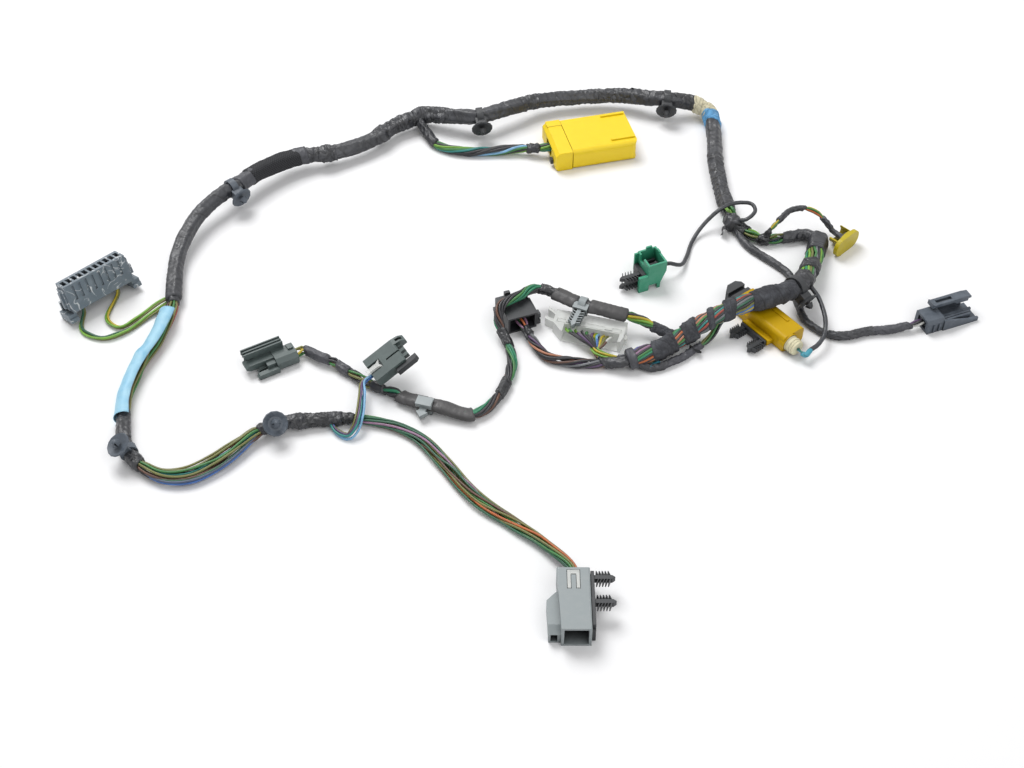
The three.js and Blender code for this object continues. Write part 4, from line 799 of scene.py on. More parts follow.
class Shell:
    """Gathers tubes into one mesh with finishes, strip coordinates and tints."""

    def __init__(self) -> None:
        """Starts empty."""
        self.points: list[np.ndarray] = []
        self.quads: list[np.ndarray] = []
        self.caps: list[list[int]] = []
        self.quad_maps: list[np.ndarray] = []
        self.quad_tints: list[np.ndarray] = []
        self.quad_slots: list[np.ndarray] = []
        self.cap_tints: list[tuple[float, float, float, float]] = []
        self.cap_slots: list[int] = []
        self.count = 0

    def tube(
        self,
        rings: np.ndarray,
        marks: np.ndarray,
        finish: int,
        tint: tuple[float, float, float, float] = (0.5, 0.5, 0.5, 1.0),
    ) -> None:
        """Adds a closed tube.

        Args:
            rings: The tube's rings of points, each turning from side to up.
            marks: Metres along the tube of each ring.
            finish: The number of its material.
            tint: Its colour, where the material takes one.
        """
        length, around, _ = rings.shape
        index = np.arange(length * around).reshape(length, around) + self.count
        a = index[:-1]
        d = index[1:]
        b = np.roll(a, -1, axis=1)
        c = np.roll(d, -1, axis=1)
        quads = np.stack([a, d, c, b], axis=-1).reshape(-1, 4)
        turn = np.arange(around + 1) / around
        u0, v0 = np.meshgrid(turn[:-1], marks[:-1])
        u1, v1 = np.meshgrid(turn[1:], marks[1:])
        corners = [(u0, v0), (u0, v1), (u1, v1), (u1, v0)]
        maps = np.stack([np.stack(pair, axis=-1) for pair in corners], axis=-2)
        self.points.append(rings.reshape(-1, 3))
        self.quads.append(quads)
        self.quad_maps.append(maps.reshape(-1, 4, 2))
        self.quad_tints.append(np.tile(np.array(tint), (len(quads), 4, 1)))
        self.quad_slots.append(np.full(len(quads), finish))
        self.caps += [list(index[0]), list(index[-1][::-1])]
        self.cap_tints += [tint, tint]
        self.cap_slots += [finish, finish]
        self.count += length * around

    def build(self, name: str, materials: list[bpy.types.Material]) -> bpy.types.Object:
        """Makes the mesh object.

        Args:
            name: The piece's name.
            materials: Its materials, in order.

        Returns:
            The object, riding on the body.
        """
        points = np.vstack(self.points)
        quads = np.vstack(self.quads)
        cap_corners = np.concatenate([np.array(cap) for cap in self.caps])
        cap_sizes = np.array([len(cap) for cap in self.caps])
        corners = np.concatenate([quads.reshape(-1), cap_corners])
        starts = np.concatenate(
            [np.arange(len(quads)) * 4, len(quads) * 4 + np.cumsum(cap_sizes) - cap_sizes]
        )
        mesh = bpy.data.meshes.new(name)
        mesh.vertices.add(len(points))
        mesh.vertices.foreach_set("co", points.astype(np.float32).ravel())
        mesh.loops.add(len(corners))
        mesh.loops.foreach_set("vertex_index", corners.astype(np.int32))
        mesh.polygons.add(len(starts))
        mesh.polygons.foreach_set("loop_start", starts.astype(np.int32))
        slots = np.concatenate([*self.quad_slots, self.cap_slots]).astype(np.int32)
        mesh.polygons.foreach_set("material_index", slots)
        mesh.polygons.foreach_set("use_smooth", np.ones(len(starts), bool))
        mesh.update(calc_edges=True)
        maps = np.vstack([np.vstack(self.quad_maps).reshape(-1, 2), np.zeros((len(cap_corners), 2))])
        layer = mesh.uv_layers.new(name=STRIP_MAP)
        layer.data.foreach_set("uv", maps.astype(np.float32).ravel())
        cap_tints = np.repeat(np.array(self.cap_tints), cap_sizes, axis=0)
        tints = np.vstack([np.vstack(self.quad_tints).reshape(-1, 4), cap_tints])
        colours = mesh.color_attributes.new(TINT, "FLOAT_COLOR", "CORNER")
        colours.data.foreach_set("color", tints.astype(np.float32).ravel())
        for material in materials:
            mesh.materials.append(material)
        mesh.validate()
        piece = add_object(name, mesh)
        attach(piece, BODY)
        return piece


def ripple(
    seed: int, marks: np.ndarray, angles: np.ndarray, wave: float, lobes: int, terms: int = 7
) -> np.ndarray:
    """Gives a smooth random swell on a tube, the same on every run and joined up around it.

    Args:
        seed: Which swell it is.
        marks: Millimetres along the tube.
        angles: Angles around it.
        wave: The usual length of a wave, in millimetres.
        lobes: The most waves around the tube.
        terms: How many waves are added up.

    Returns:
        Heights of about -1 to 1.
    """
    chance = np.random.default_rng(seed)
    total = np.zeros(np.broadcast(marks, angles).shape)
    for _ in range(terms):
        around = chance.integers(-lobes, lobes + 1)
        rate = 2 * math.pi / (wave * chance.uniform(0.6, 1.7))
        total += np.cos(around * angles + rate * marks + chance.uniform(0, 2 * math.pi))
    return total / math.sqrt(terms)


@dataclass(frozen=True)
class Wrap:
    """One stretch of tape round a bundle.

    The skin stands `proud` of the bundle, with a step at each lap. It has creases and soft facets, swells
    (each with its place, extra height and reach), and is cut askew or closed by a dome at the end.
    """

    start: float
    stop: float
    tape: Tape = Tape.VINYL
    proud: float = 0.0
    crease: float = 0.22
    swells: tuple[tuple[float, float, float], ...] = ()
    wide: float = 1.0
    high: float = 1.0
    lap_step: float = 0.16
    facets: float = 0.035
    skew: float = 1.3
    dome: float = 0.0

    SIDES = 36
    STEP = 0.75
    CLOTH_LAP = 5.0
    SAG = 0.035
    RIDGES = ((11.0, 1.1), (5.0, 0.4))
    END_DEPTH = 0.9
    END_REACH = 0.8
    SKEW_REACH = 5.0
    FLOOR_GAP = 0.1

    def rings(self, route: Route, radius: float, seed: int) -> tuple[np.ndarray, np.ndarray]:
        """Shapes the tape's skin.

        Args:
            route: The bundle's line.
            radius: The bundle's radius, in millimetres.
            seed: Which creases it has.

        Returns:
            The rings of points, and metres along the tube of each.
        """
        count = max(int((self.stop - self.start) / self.STEP), 4)
        marks = np.linspace(self.start, self.stop, count)
        places, along, side, up = route.at(marks)
        turn = np.arange(self.SIDES) / self.SIDES
        angles = (2 * math.pi * turn - math.pi / 2)[None, :]
        s = marks[:, None]
        lap = self.tape.value.lap if isinstance(self.tape.value, WoundTape) else self.CLOTH_LAP
        phase = (s / lap + turn[None, :]) % 1.0
        sink = radius + self.proud + self.lap_step * (0.5 - phase)
        sink = sink + self.facets * radius * np.cos(5 * angles + s / 21 + seed)
        sink = sink + 0.5 * self.facets * radius * np.cos(3 * angles - s / 34 + 2 * seed)
        sink = sink + self.SAG * radius * ripple(seed, s, angles, 26.0, 2)
        for wave, share in self.RIDGES:
            ridges = 1 - 2 * np.abs(ripple(seed + int(wave), s, angles, wave, 4))
            sink = sink + share * self.crease * np.clip(ridges, -1.2, 1.0)
        for place, extra, reach in self.swells:
            sink = sink + extra * np.exp(-(((s - place) / reach) ** 2))
        # The tape's own ends: cut askew, and closed down on what they hold.
        ends = np.minimum(marks - marks[0], marks[-1] - marks)
        sink = sink - (self.END_DEPTH * np.clip(1 - ends / self.END_REACH, 0, 1) ** 2)[:, None]
        if self.dome:
            past = np.clip((marks - self.stop) / self.dome + 1, 0.0, 0.995)
            sink = sink * np.sqrt(1 - past**2)[:, None]
        skew = self.skew * np.cos(angles + seed) * np.clip(1 - ends / self.SKEW_REACH, 0, 1)[:, None]
        sideways = (sink * self.wide * np.cos(angles))[..., None] * side[:, None, :]
        upward = (sink * self.high * np.sin(angles))[..., None] * up[:, None, :]
        rings = places[:, None, :] + (sideways + upward + skew[..., None] * along[:, None, :]) * MM
        rings[..., 2] = np.maximum(rings[..., 2], self.FLOOR_GAP * MM)
        return rings, marks * MM


@dataclass(frozen=True)
class Open:
    """One stretch where the wires show.

    The wires lie in a nest that turns along the stretch and spreads in its middle. They are tucked under
    the bundle's surface, and squeezed further in where a tape holds them. One wire in `inner_share` lies in
    the core. Each stray wire has its own colour, and bows aside and up by its two lengths.
    """

    start: float
    stop: float
    wires: tuple[WireColour, ...]
    spread: float = 0.12
    turns: float = 0.25
    thickness: float = 1.6
    tuck: float = 0.2
    squeeze: float = 0.75
    inner_share: int = 4
    wide: float = 1.0
    high: float = 1.0
    strays: tuple[tuple[WireColour, float, float], ...] = ()

    SIDES = 8
    STEP = 2.2
    FIRST_ANGLE = 150.0
    BELLY_REACH = 14.0
    HELD_REACH = 2.5
    WANDER = 0.22
    FLOOR_GAP = 0.1

    def nest(self, radius: float) -> list[tuple[float, float]]:
        """Places the wires' centres in the bundle's section.

        Args:
            radius: The bundle's radius, in millimetres.

        Returns:
            Each wire's distance from the middle and its angle.
        """
        count = len(self.wires)
        if count == 1:
            return [(0.0, 0.0)]
        inner = 0 if count < 6 else count // self.inner_share
        outer = count - inner
        rim = max(radius - self.thickness / 2 - self.tuck, 0.3)
        first = math.radians(self.FIRST_ANGLE)
        spots = [(rim, first - 2 * math.pi * at / outer) for at in range(outer)]
        core = 0.0 if inner == 1 else rim * 0.45
        spots += [(core, first - 0.6 - 2 * math.pi * at / inner) for at in range(inner)]
        return spots

    def lay(
        self,
        shell: Shell,
        route: Route,
        radius: float,
        seed: int,
        finish: int,
        wraps: tuple[Wrap, ...],
    ) -> None:
        """Adds the wires to the bundle's mesh.

        Args:
            shell: The bundle's mesh.
            route: The bundle's line.
            radius: The bundle's radius, in millimetres.
            seed: Which small bends the wires have.
            finish: The number of the wires' material.
            wraps: The tapes that hold the wires together.
        """
        count = max(int((self.stop - self.start) / self.STEP), 5)
        marks = np.linspace(self.start, self.stop, count)
        share = (marks - self.start) / (self.stop - self.start)
        belly = np.sin(math.pi * share)
        held = np.zeros(count)
        for wrap in wraps:
            outside = np.maximum(wrap.start - marks, marks - wrap.stop)
            belly = np.minimum(belly, np.clip(outside / self.BELLY_REACH, 0.0, 1.0))
            held = np.maximum(held, np.clip(1.0 - outside / self.HELD_REACH, 0.0, 1.0))
        places, _, side, up = route.at(marks)
        for at, (colour, (distance, angle)) in enumerate(zip(self.wires, self.nest(radius))):
            wander = ripple(seed + 7 * at, marks, 0.0, 46.0, 0, 4)
            sway = ripple(seed + 7 * at + 3, marks, 0.0, 31.0, 0, 4)
            bearing = angle + 2 * math.pi * self.turns * share + self.WANDER * wander * belly
            reach = distance * (1 + self.spread * belly) + self.WANDER * self.thickness * sway * belly
            reach = np.maximum(reach - self.squeeze * held, 0.0)
            across = reach * np.cos(bearing) * self.wide
            above = reach * np.sin(bearing) * self.high
            self.strand(shell, marks, (places, side, up), across, above, finish, colour)
        for at, (colour, aside, lift) in enumerate(self.strays):
            sway = 0.3 * ripple(seed + 91 * (at + 1), marks, 0.0, 38.0, 0, 4) * belly
            bow = belly**0.7
            across = aside * bow + sway
            above = lift * bow + 0.5 * sway
            self.strand(shell, marks, (places, side, up), across, above, finish, colour)

    def strand(
        self,
        shell: Shell,
        marks: np.ndarray,
        line: tuple[np.ndarray, np.ndarray, np.ndarray],
        across: np.ndarray,
        above: np.ndarray,
        finish: int,
        colour: WireColour,
    ) -> None:
        """Adds one wire.

        Args:
            shell: The bundle's mesh.
            marks: Millimetres along the bundle of each ring.
            line: The bundle's places, side and up directions.
            across: How far to the side the wire lies, in millimetres.
            above: How far up it lies, in millimetres.
            finish: The number of the wires' material.
            colour: The wire's colour.
        """
        places, side, up = line
        half = self.thickness / 2
        middle = places + (across[:, None] * side + above[:, None] * up) * MM
        middle[:, 2] = np.maximum(middle[:, 2], (half + self.FLOOR_GAP) * MM)
        run = np.gradient(middle, axis=0)
        run /= np.linalg.norm(run, axis=1)[:, None]
        out = np.cross(run, up)
        out /= np.linalg.norm(out, axis=1)[:, None]
        over = np.cross(out, run)
        angles = 2 * math.pi * np.arange(self.SIDES) / self.SIDES
        ring = np.cos(angles)[None, :, None] * out[:, None, :]
        ring = ring + np.sin(angles)[None, :, None] * over[:, None, :]
        shell.tube(middle[:, None, :] + ring * half * MM, marks * MM, finish, linear(colour.value))


@dataclass(frozen=True)
class Bundle:
    """One cord of the harness: taped stretches with open ones between them."""

    name: str
    diameter: float
    wraps: tuple[Wrap, ...] = ()
    opens: tuple[Open, ...] = ()
    slot: str = "harness_tape"
    stiffness: str = "medium"

    def build(self, finishes: Finishes, seed: int) -> bpy.types.Object:
        """Args:
            finishes: The materials.
            seed: Which small bends and creases it has.

        Returns:
            The bundle.
        """
        route = Route(ROUTES[self.name])
        used: list[Tape] = []
        shell = Shell()
        for at, wrap in enumerate(self.wraps):
            if wrap.tape not in used:
                used.append(wrap.tape)
            rings, marks = wrap.rings(route, self.diameter / 2, seed + 13 * at)
            shell.tube(rings, marks, used.index(wrap.tape))
        if self.opens:
            used.append(Tape.WIRES)
        for at, stretch in enumerate(self.opens):
            wires = used.index(Tape.WIRES)
            stretch.lay(shell, route, self.diameter / 2, seed + 29 * at, wires, self.wraps)
        piece = shell.build(f"{self.name}_dressed", [finishes.material(tape) for tape in used])
        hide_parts(self.name)
        LOG.info("bundle %s: %.0f mm long", self.name, route.length)
        return piece


C = WireColour

BUNDLES = (
    Bundle(
        "trunk_left", 10.5,
        wraps=(
            Wrap(-3, 104, crease=0.1, facets=0.07),
            Wrap(98, 122, crease=0.2, facets=0.05),
            Wrap(117, 133, Tape.LILAC, proud=0.9, crease=0.15),
            Wrap(128, 172, Tape.CLOTH, proud=1.3, crease=0.1, lap_step=0.0, facets=0.05),
            Wrap(168, 179, Tape.LILAC, proud=1.2, crease=0.15),
            Wrap(176, 189, Tape.KNOT, proud=0.3, crease=0.3),
            Wrap(187, 200, Tape.KNOT, proud=0.5, crease=0.5, swells=((193, 1.1, 4),)),
            Wrap(196, 240, crease=0.15, facets=0.09),
            Wrap(232, 273, Tape.KNOT, crease=0.35, facets=0.09, swells=((240, 1.0, 6), (262, 0.9, 7))),
        ),
    ),
    Bundle(
        "trunk_back", 11.0,
        wraps=(
            Wrap(-3, 30, Tape.KNOT, crease=0.45, swells=((6, 0.9, 7), (24, 0.6, 6))),
            Wrap(26, 92, crease=0.2, facets=0.08),
            Wrap(86, 102, Tape.KNOT, proud=0.25, crease=0.35),
            Wrap(98, 150, crease=0.2, facets=0.08),
            Wrap(144, 190, Tape.KNOT, crease=0.3, facets=0.08, swells=((178, 0.6, 6),)),
            Wrap(186, 214, crease=0.2, facets=0.07),
            Wrap(209, 226, Tape.GLOSS, proud=0.3, crease=0.2),
            Wrap(224, 232, Tape.MASKING, proud=0.7, crease=0.3),
            Wrap(230, 236, Tape.MASKING, proud=0.1, crease=0.4),
            Wrap(234, 242, Tape.MASKING, proud=0.6, crease=0.3),
            Wrap(240, 254, Tape.BLUE, proud=0.5, crease=0.45, skew=2.4),
            Wrap(251, 299, crease=0.12, facets=0.06),
            Wrap(291, 300, Tape.KNOT, proud=0.4, crease=0.25),
            Wrap(298, 352, Tape.KNOT, crease=0.25, facets=0.07),
            Wrap(360, 371, Tape.KNOT, crease=0.5, swells=((366, 0.8, 4),)),
        ),
        opens=(
            Open(
                346, 369,
                (C.LIME, C.GREEN, C.LIME, C.BLACK, C.EMERALD, C.GREEN, C.LIME, C.GREY),
                thickness=2.4,
            ),
        ),
    ),
    Bundle(
        "trunk_right", 13.0,
        wraps=(
            Wrap(-5, 1, Tape.LILAC, proud=0.2, crease=0.3, skew=1.2),
            Wrap(13, 31, Tape.FRICTION, proud=0.3, crease=0.4, skew=2.6),
            Wrap(37, 49, Tape.FRICTION, proud=0.3, crease=0.4, skew=2.6),
            Wrap(57, 62, Tape.FRICTION, proud=0.3, crease=0.3, skew=2.6),
            Wrap(68, 77, Tape.FRICTION, proud=0.3, crease=0.4, skew=2.6),
            Wrap(88, 121, Tape.FRICTION, proud=0.3, crease=0.35, swells=((100, 0.5, 7),)),
            Wrap(119, 134, Tape.KNOT, proud=0.2, crease=0.35),
            Wrap(132, 139, Tape.GLOSS, proud=0.3, crease=0.3),
            Wrap(146, 157, Tape.GLOSS, proud=0.3, crease=0.3, skew=2.2),
            Wrap(174, 196, proud=0.3, crease=0.15, facets=0.07, dome=5.0),
        ),
        opens=(
            Open(
                -3, 140,
                (
                    C.BLUE, C.YELLOW, C.BLUE, C.PURPLE, C.BLACK, C.MAUVE, C.BLACK, C.GREEN, C.EMERALD,
                    C.BLACK, C.ORANGE, C.BLACK, C.SALMON, C.GREEN, C.BLACK, C.TEAL, C.RED, C.BLACK,
                    C.GREY, C.FOREST, C.BLACK, C.OLIVE,
                ),
                turns=1.0, thickness=1.75, spread=0.0, inner_share=30,
            ),
            Open(
                134, 180,
                (
                    C.LIME, C.GREEN, C.LIME, C.EMERALD, C.LIME, C.OLIVE, C.GREEN, C.GREY, C.BLACK,
                    C.LIME, C.GREEN, C.FOREST, C.GREEN, C.BLACK, C.LIME, C.EMERALD, C.BLACK, C.GREEN,
                ),
                inner_share=30, thickness=1.85, spread=0.0,
            ),
        ),
    ),
    Bundle(
        "label_bundle", 8.4,
        wraps=(
            Wrap(-2, 6, crease=0.2),
            Wrap(105, 131, crease=0.2, proud=0.2, facets=0.07),
            Wrap(128, 153, Tape.KNOT, crease=0.3, swells=((146, 0.5, 5),)),
            Wrap(236, 268, Tape.KNOT, crease=0.3, swells=((262, 1.0, 4),)),
            Wrap(265, 283, Tape.GLOSS, proud=0.1, crease=0.5),
            Wrap(280, 289, Tape.KNOT, proud=0.4, crease=0.2),
        ),
        opens=(
            Open(
                4, 112,
                (
                    C.OLIVE, C.GREEN, C.OLIVE, C.BROWN, C.RED, C.GREEN, C.FOREST, C.BROWN, C.RED,
                    C.OLIVE, C.GREEN, C.BLACK,
                ),
                turns=0.35,
            ),
            Open(
                148, 242,
                (
                    C.OLIVE, C.GREEN, C.OLIVE, C.BROWN, C.BLACK, C.BROWN, C.FOREST, C.BLACK, C.OLIVE,
                    C.TEAL, C.BROWN,
                ),
                spread=0.12, turns=-0.12, thickness=1.55,
                strays=(
                    (C.OLIVE, -6.1, 0.8), (C.RED, -3.3, 1.2), (C.SLATE, 4.3, -0.8), (C.BLUE, 5.9, -1.0),
                    (C.SLATE, 5.6, 0.6), (C.FOREST, 4.6, 0.9),
                ),
            ),
        ),
    ),
    Bundle(
        "front_branch", 6.4, wraps=(Wrap(-2, 9, Tape.GLOSS, proud=0.4, crease=0.3),),
        opens=(
            Open(
                4, 199,
                (
                    C.OLIVE, C.GREEN, C.FOREST, C.FOREST, C.MAUVE, C.FOREST, C.BROWN, C.OLIVE, C.ORANGE,
                    C.EMERALD, C.OLIVE, C.GREEN,
                ),
                spread=0.32, turns=0.9, thickness=1.5,
                strays=((C.FOREST, 4.5, 0.0), (C.OLIVE, -4.0, 0.6)),
            ),
        ),
        slot="wire_insulation",
    ),
    Bundle(
        "rear_link", 8.0,
        wraps=(
            Wrap(-3, 14, Tape.GLOSS, crease=0.4, swells=((2, 0.8, 5),)),
            Wrap(23, 31, Tape.GLOSS, crease=0.3),
            Wrap(40, 72, crease=0.25),
        ),
        opens=(
            Open(
                10, 46,
                (C.SKY, C.LIME, C.GREEN, C.OLIVE, C.BLACK, C.GREEN, C.BLACK, C.LIME, C.GREEN),
                turns=0.4,
            ),
        ),
    ),
    Bundle(
        "left_branch", 7.0,
        wraps=(
            Wrap(8, 28, Tape.LILAC, crease=0.15, proud=-0.3, facets=0.06),
            Wrap(34, 45, Tape.LILAC, crease=0.2, proud=-0.2, facets=0.06),
            Wrap(63, 73, crease=0.2, proud=-0.2),
            Wrap(83, 103, Tape.FLAT, crease=0.08, wide=1.5, high=0.72, skew=0.4),
            Wrap(101, 134, Tape.FLAT, crease=0.08, wide=1.5, high=0.72, skew=0.4),
            Wrap(157, 172, Tape.GLOSS, crease=0.2),
            Wrap(200, 214, Tape.GLOSS, crease=0.2, proud=-0.1),
            Wrap(262, 276, Tape.GLOSS, crease=0.25),
            Wrap(273, 291, Tape.FLAT, crease=0.08, wide=1.4, high=0.85, proud=0.5, skew=0.4),
            Wrap(299, 325, Tape.FLAT, crease=0.08, wide=1.4, high=0.85, proud=0.5, skew=0.4),
            Wrap(288, 302, Tape.GLOSS, crease=0.15),
            Wrap(342, 361, Tape.FRICTION, crease=0.3),
        ),
        opens=(
            Open(0, 12, (C.YELLOW, C.OLIVE, C.YELLOW, C.GREEN, C.BLACK)),
            Open(
                24, 68,
                (C.OLIVE, C.BLACK, C.BLACK, C.GREEN, C.OLIVE, C.BLACK, C.BLACK, C.BROWN),
                turns=0.6,
            ),
            Open(
                68, 90,
                (C.EMERALD, C.BLACK, C.EMERALD, C.BLACK, C.BLACK, C.BLACK, C.TEAL),
                thickness=2.0,
            ),
            Open(
                128, 266,
                (
                    C.BLACK, C.GREEN, C.EMERALD, C.EMERALD, C.BLACK, C.BLACK, C.BROWN, C.BLACK, C.BLACK,
                    C.FOREST, C.BLACK, C.BLACK,
                ),
                turns=2.2, thickness=1.75, spread=0.06,
            ),
            Open(
                320, 350,
                (C.BLACK, C.GREEN, C.BLACK, C.YELLOW, C.LIME, C.GREEN, C.BLACK, C.OLIVE, C.BLACK),
                turns=0.5, thickness=1.9, spread=0.0,
            ),
        ),
    ),
    Bundle(
        "black_branch", 6.6,
        wraps=(Wrap(-2, 22, proud=0.3, crease=0.35, skew=2.0), Wrap(78, 86, Tape.GLOSS, crease=0.3)),
        opens=(
            Open(
                2, 84,
                (
                    C.BLACK, C.SALMON, C.BLACK, C.PURPLE, C.BLACK, C.GREY, C.BLACK, C.BROWN, C.BLACK,
                    C.BLACK, C.PURPLE,
                ),
                turns=1.4, spread=0.14,
            ),
            Open(84, 98, (C.MAUVE, C.ORANGE, C.MAUVE, C.BLACK, C.GREEN), spread=0.6, turns=0.1),
        ),
    ),
    Bundle(
        "clear_branch", 5.0, wraps=(Wrap(30, 44, Tape.LILAC, crease=0.25),),
        opens=(
            Open(
                0, 43,
                (C.BLACK, C.LIME, C.YELLOW, C.LIME, C.YELLOW, C.PURPLE, C.GREY, C.BLACK),
                spread=0.3, turns=0.3,
            ),
        ),
    ),
    Bundle(
        "parallel_branch", 5.0,
        wraps=(Wrap(0, 26, crease=0.25), Wrap(24, 54, Tape.LILAC, crease=0.25)),
        opens=(Open(48, 74, (C.YELLOW, C.OLIVE, C.GREEN, C.BLACK, C.GREEN, C.BLACK)),),
    ),
    Bundle(
        "right_branch", 5.2,
        wraps=(
            Wrap(-2, 132, crease=0.14),
            Wrap(128, 160, proud=0.15, crease=0.4, lap_step=0.3),
            Wrap(156, 184, Tape.LILAC, proud=0.1, crease=0.3),
        ),
        opens=(Open(178, 193, (C.WHITE, C.PURPLE, C.BLACK, C.WHITE, C.BLACK)),),
    ),
    Bundle(
        "rear_branch", 4.0,
        wraps=(
            Wrap(-2, 9, Tape.GLOSS, crease=0.3),
            Wrap(16, 41, crease=0.25),
            Wrap(54, 76, Tape.LILAC, crease=0.25),
        ),
        opens=(Open(4, 62, (C.OLIVE, C.YELLOW, C.GREEN, C.ORANGE, C.OLIVE), thickness=1.4),),
    ),
    Bundle(
        "green_wire", 2.8,
        wraps=(Wrap(-1, 136, Tape.SHEATH, crease=0.04, lap_step=0.0, facets=0.01),),
    ),
    Bundle(
        "sealed_wire", 3.0,
        wraps=(
            Wrap(-1, 64, Tape.SHEATH, crease=0.04, lap_step=0.0, facets=0.01),
            Wrap(60, 69, Tape.TEAL, proud=0.25, crease=0.05, lap_step=0.0, facets=0.0),
        ),
        opens=(Open(62, 72.7, (C.SKY, C.TEAL, C.BLACK), thickness=1.3),),
    ),
    Bundle(
        "yellow_branch", 7.0,
        wraps=(Wrap(-2, 28, crease=0.4), Wrap(98, 108, Tape.GLOSS, proud=0.3, crease=0.3)),
        opens=(
            Open(
                22, 121,
                (
                    C.BLACK, C.SKY, C.GREEN, C.BLACK, C.LIME, C.GREEN, C.TEAL, C.BLACK, C.BLACK, C.GREY,
                    C.BLACK,
                ),
                turns=1.25, spread=0.06, thickness=1.8,
            ),
        ),
    ),
    Bundle(
        "panel_wires_a", 3.4,
        opens=(Open(0, 86, (C.OLIVE, C.LIME, C.YELLOW), spread=0.35, turns=0.6),),
        slot="wire_insulation",
    ),
    Bundle(
        "panel_wires_b", 3.4,
        opens=(Open(0, 93, (C.OLIVE, C.LIME, C.FOREST), spread=0.5, turns=0.6),),
        slot="wire_insulation",
    ),
    Bundle(
        "tee_wires", 3.4,
        opens=(
            Open(
                0, 70, (C.BLUE, C.TEAL, C.SKY), spread=0.9, turns=0.5, thickness=1.5,
                strays=((C.OLIVE, -3.3, 0.4), (C.PURPLE, -1.7, 1.0)),
            ),
        ),
        slot="wire_insulation",
    ),
)


@dataclass(frozen=True)
class Moulding:
    """A moulded part of the CAD model: it keeps its shape, and gets its finish and soft edges."""

    name: str
    plastic: Plastic
    edge: float = 0.22

    def build(self, finishes: Finishes) -> None:
        """Dresses the part.

        Args:
            finishes: The materials.
        """
        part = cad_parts[self.name]
        for holder in part.material_slots:
            holder.material = finishes.material(self.plastic)
        weld = part.modifiers.new("merge", "WELD")
        weld.merge_threshold = WELD * MM
        soften(part, self.edge).harden_normals = True


MOULDINGS = (
    Moulding("panel_housing", Plastic.SLATE_WORN),
    Moulding("panel_slide_lock", Plastic.SLATE_WORN),
    Moulding("right_housing", Plastic.SLATE),
    Moulding("right_latch", Plastic.SLATE),
    Moulding("left_housing", Plastic.GREEN_GREY),
    Moulding("tee_housing", Plastic.GREEN_GREY),
    Moulding("tee_lock", Plastic.CLEAR),
    Moulding("tee_finger", Plastic.BLACK),
    Moulding("yellow_rear_cover", Plastic.YELLOW, 0.9),
    Moulding("yellow_housing", Plastic.YELLOW, 0.9),
    Moulding("yellow_lock_tab", Plastic.BLACK),
    Moulding("black_housing", Plastic.BLACK),
    Moulding("black_latch", Plastic.BLACK),
    Moulding("clear_housing", Plastic.CLEAR),
    Moulding("clear_lock_bar", Plastic.CLEAR),
    Moulding("sealed_housing", Plastic.AMBER, 0.4),
    Moulding("sealed_wire_seal", Plastic.CREAM, 0.3),
    Moulding("sealed_cap", Plastic.BLACK),
    Moulding("sealed_clip_carrier", Plastic.BLACK),
    Moulding("green_housing", Plastic.GREEN),
    Moulding("green_terminal_insert", Plastic.BLACK),
    Moulding("green_clip_carrier", Plastic.BLACK),
    Moulding("cover_housing", Plastic.OLIVE, 0.4),
    Moulding("cover_insert", Plastic.BLACK),
    Moulding("front_housing", Plastic.GREY, 0.35),
    Moulding("front_pin_block", Plastic.BLACK),
    Moulding("front_lock", Plastic.CLEAR),
    Moulding("front_clip_carrier", Plastic.BLACK),
    Moulding("front_disc_clip", Plastic.SLATE),
    Moulding("right_disc_clip", Plastic.BLACK),
    Moulding("edge_clip", Plastic.GREY),
    Moulding("grey_fir_clip", Plastic.GREY),
)


@dataclass(frozen=True)
class Label:
    """The film label, wound most of the way round its bundle."""

    start: float = 15.0
    stop: float = 110.0
    radius: float = 5.6
    thickness: float = 0.25
    first_angle: float = -100.0
    last_angle: float = 128.0

    ROWS = 72
    COLUMNS = 30
    LOOSE = 1.6

    def build(self) -> bpy.types.Object:
        """Models the label.

        Returns:
            The label.
        """
        route = Route(ROUTES["label_bundle"])
        marks = np.linspace(self.start, self.stop, self.ROWS)
        angles = np.radians(np.linspace(self.first_angle, self.last_angle, self.COLUMNS))
        places, _, side, up = route.at(marks)
        s = marks[:, None]
        ridges = ripple(5, s, angles[None, :], 17.0, 2)
        loose = self.LOOSE * np.exp(-(((s - self.start) / 22.0) ** 2))
        lift = self.radius + loose + 0.28 * ridges + 0.3 * np.cos(s / 9.0)
        across = (lift * np.cos(angles)[None, :])[..., None] * side[:, None, :]
        above = (lift * np.sin(angles)[None, :])[..., None] * up[:, None, :]
        points = places[:, None, :] + (across + above) * MM
        points[..., 2] = np.maximum(points[..., 2], 0.3 * MM)
        rows, columns = len(marks), len(angles)
        faces = [
            (r * columns + c, (r + 1) * columns + c, (r + 1) * columns + c + 1, r * columns + c + 1)
            for r in range(rows - 1)
            for c in range(columns - 1)
        ]
        mesh = bpy.data.meshes.new("part_label_film")
        mesh.from_pydata([tuple(p) for p in points.reshape(-1, 3)], [], faces)
        mesh.polygons.foreach_set("use_smooth", np.ones(len(faces), bool))
        mesh.materials.append(COATED_FILM.build())
        piece = add_object("part_label_film", mesh)
        wall = piece.modifiers.new("wall", "SOLIDIFY")
        wall.thickness = self.thickness * MM
        wall.offset = 1.0
        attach(piece, BODY)
        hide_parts("part_label")
        LOG.info("label: %.0f mm long", self.stop - self.start)
        return piece


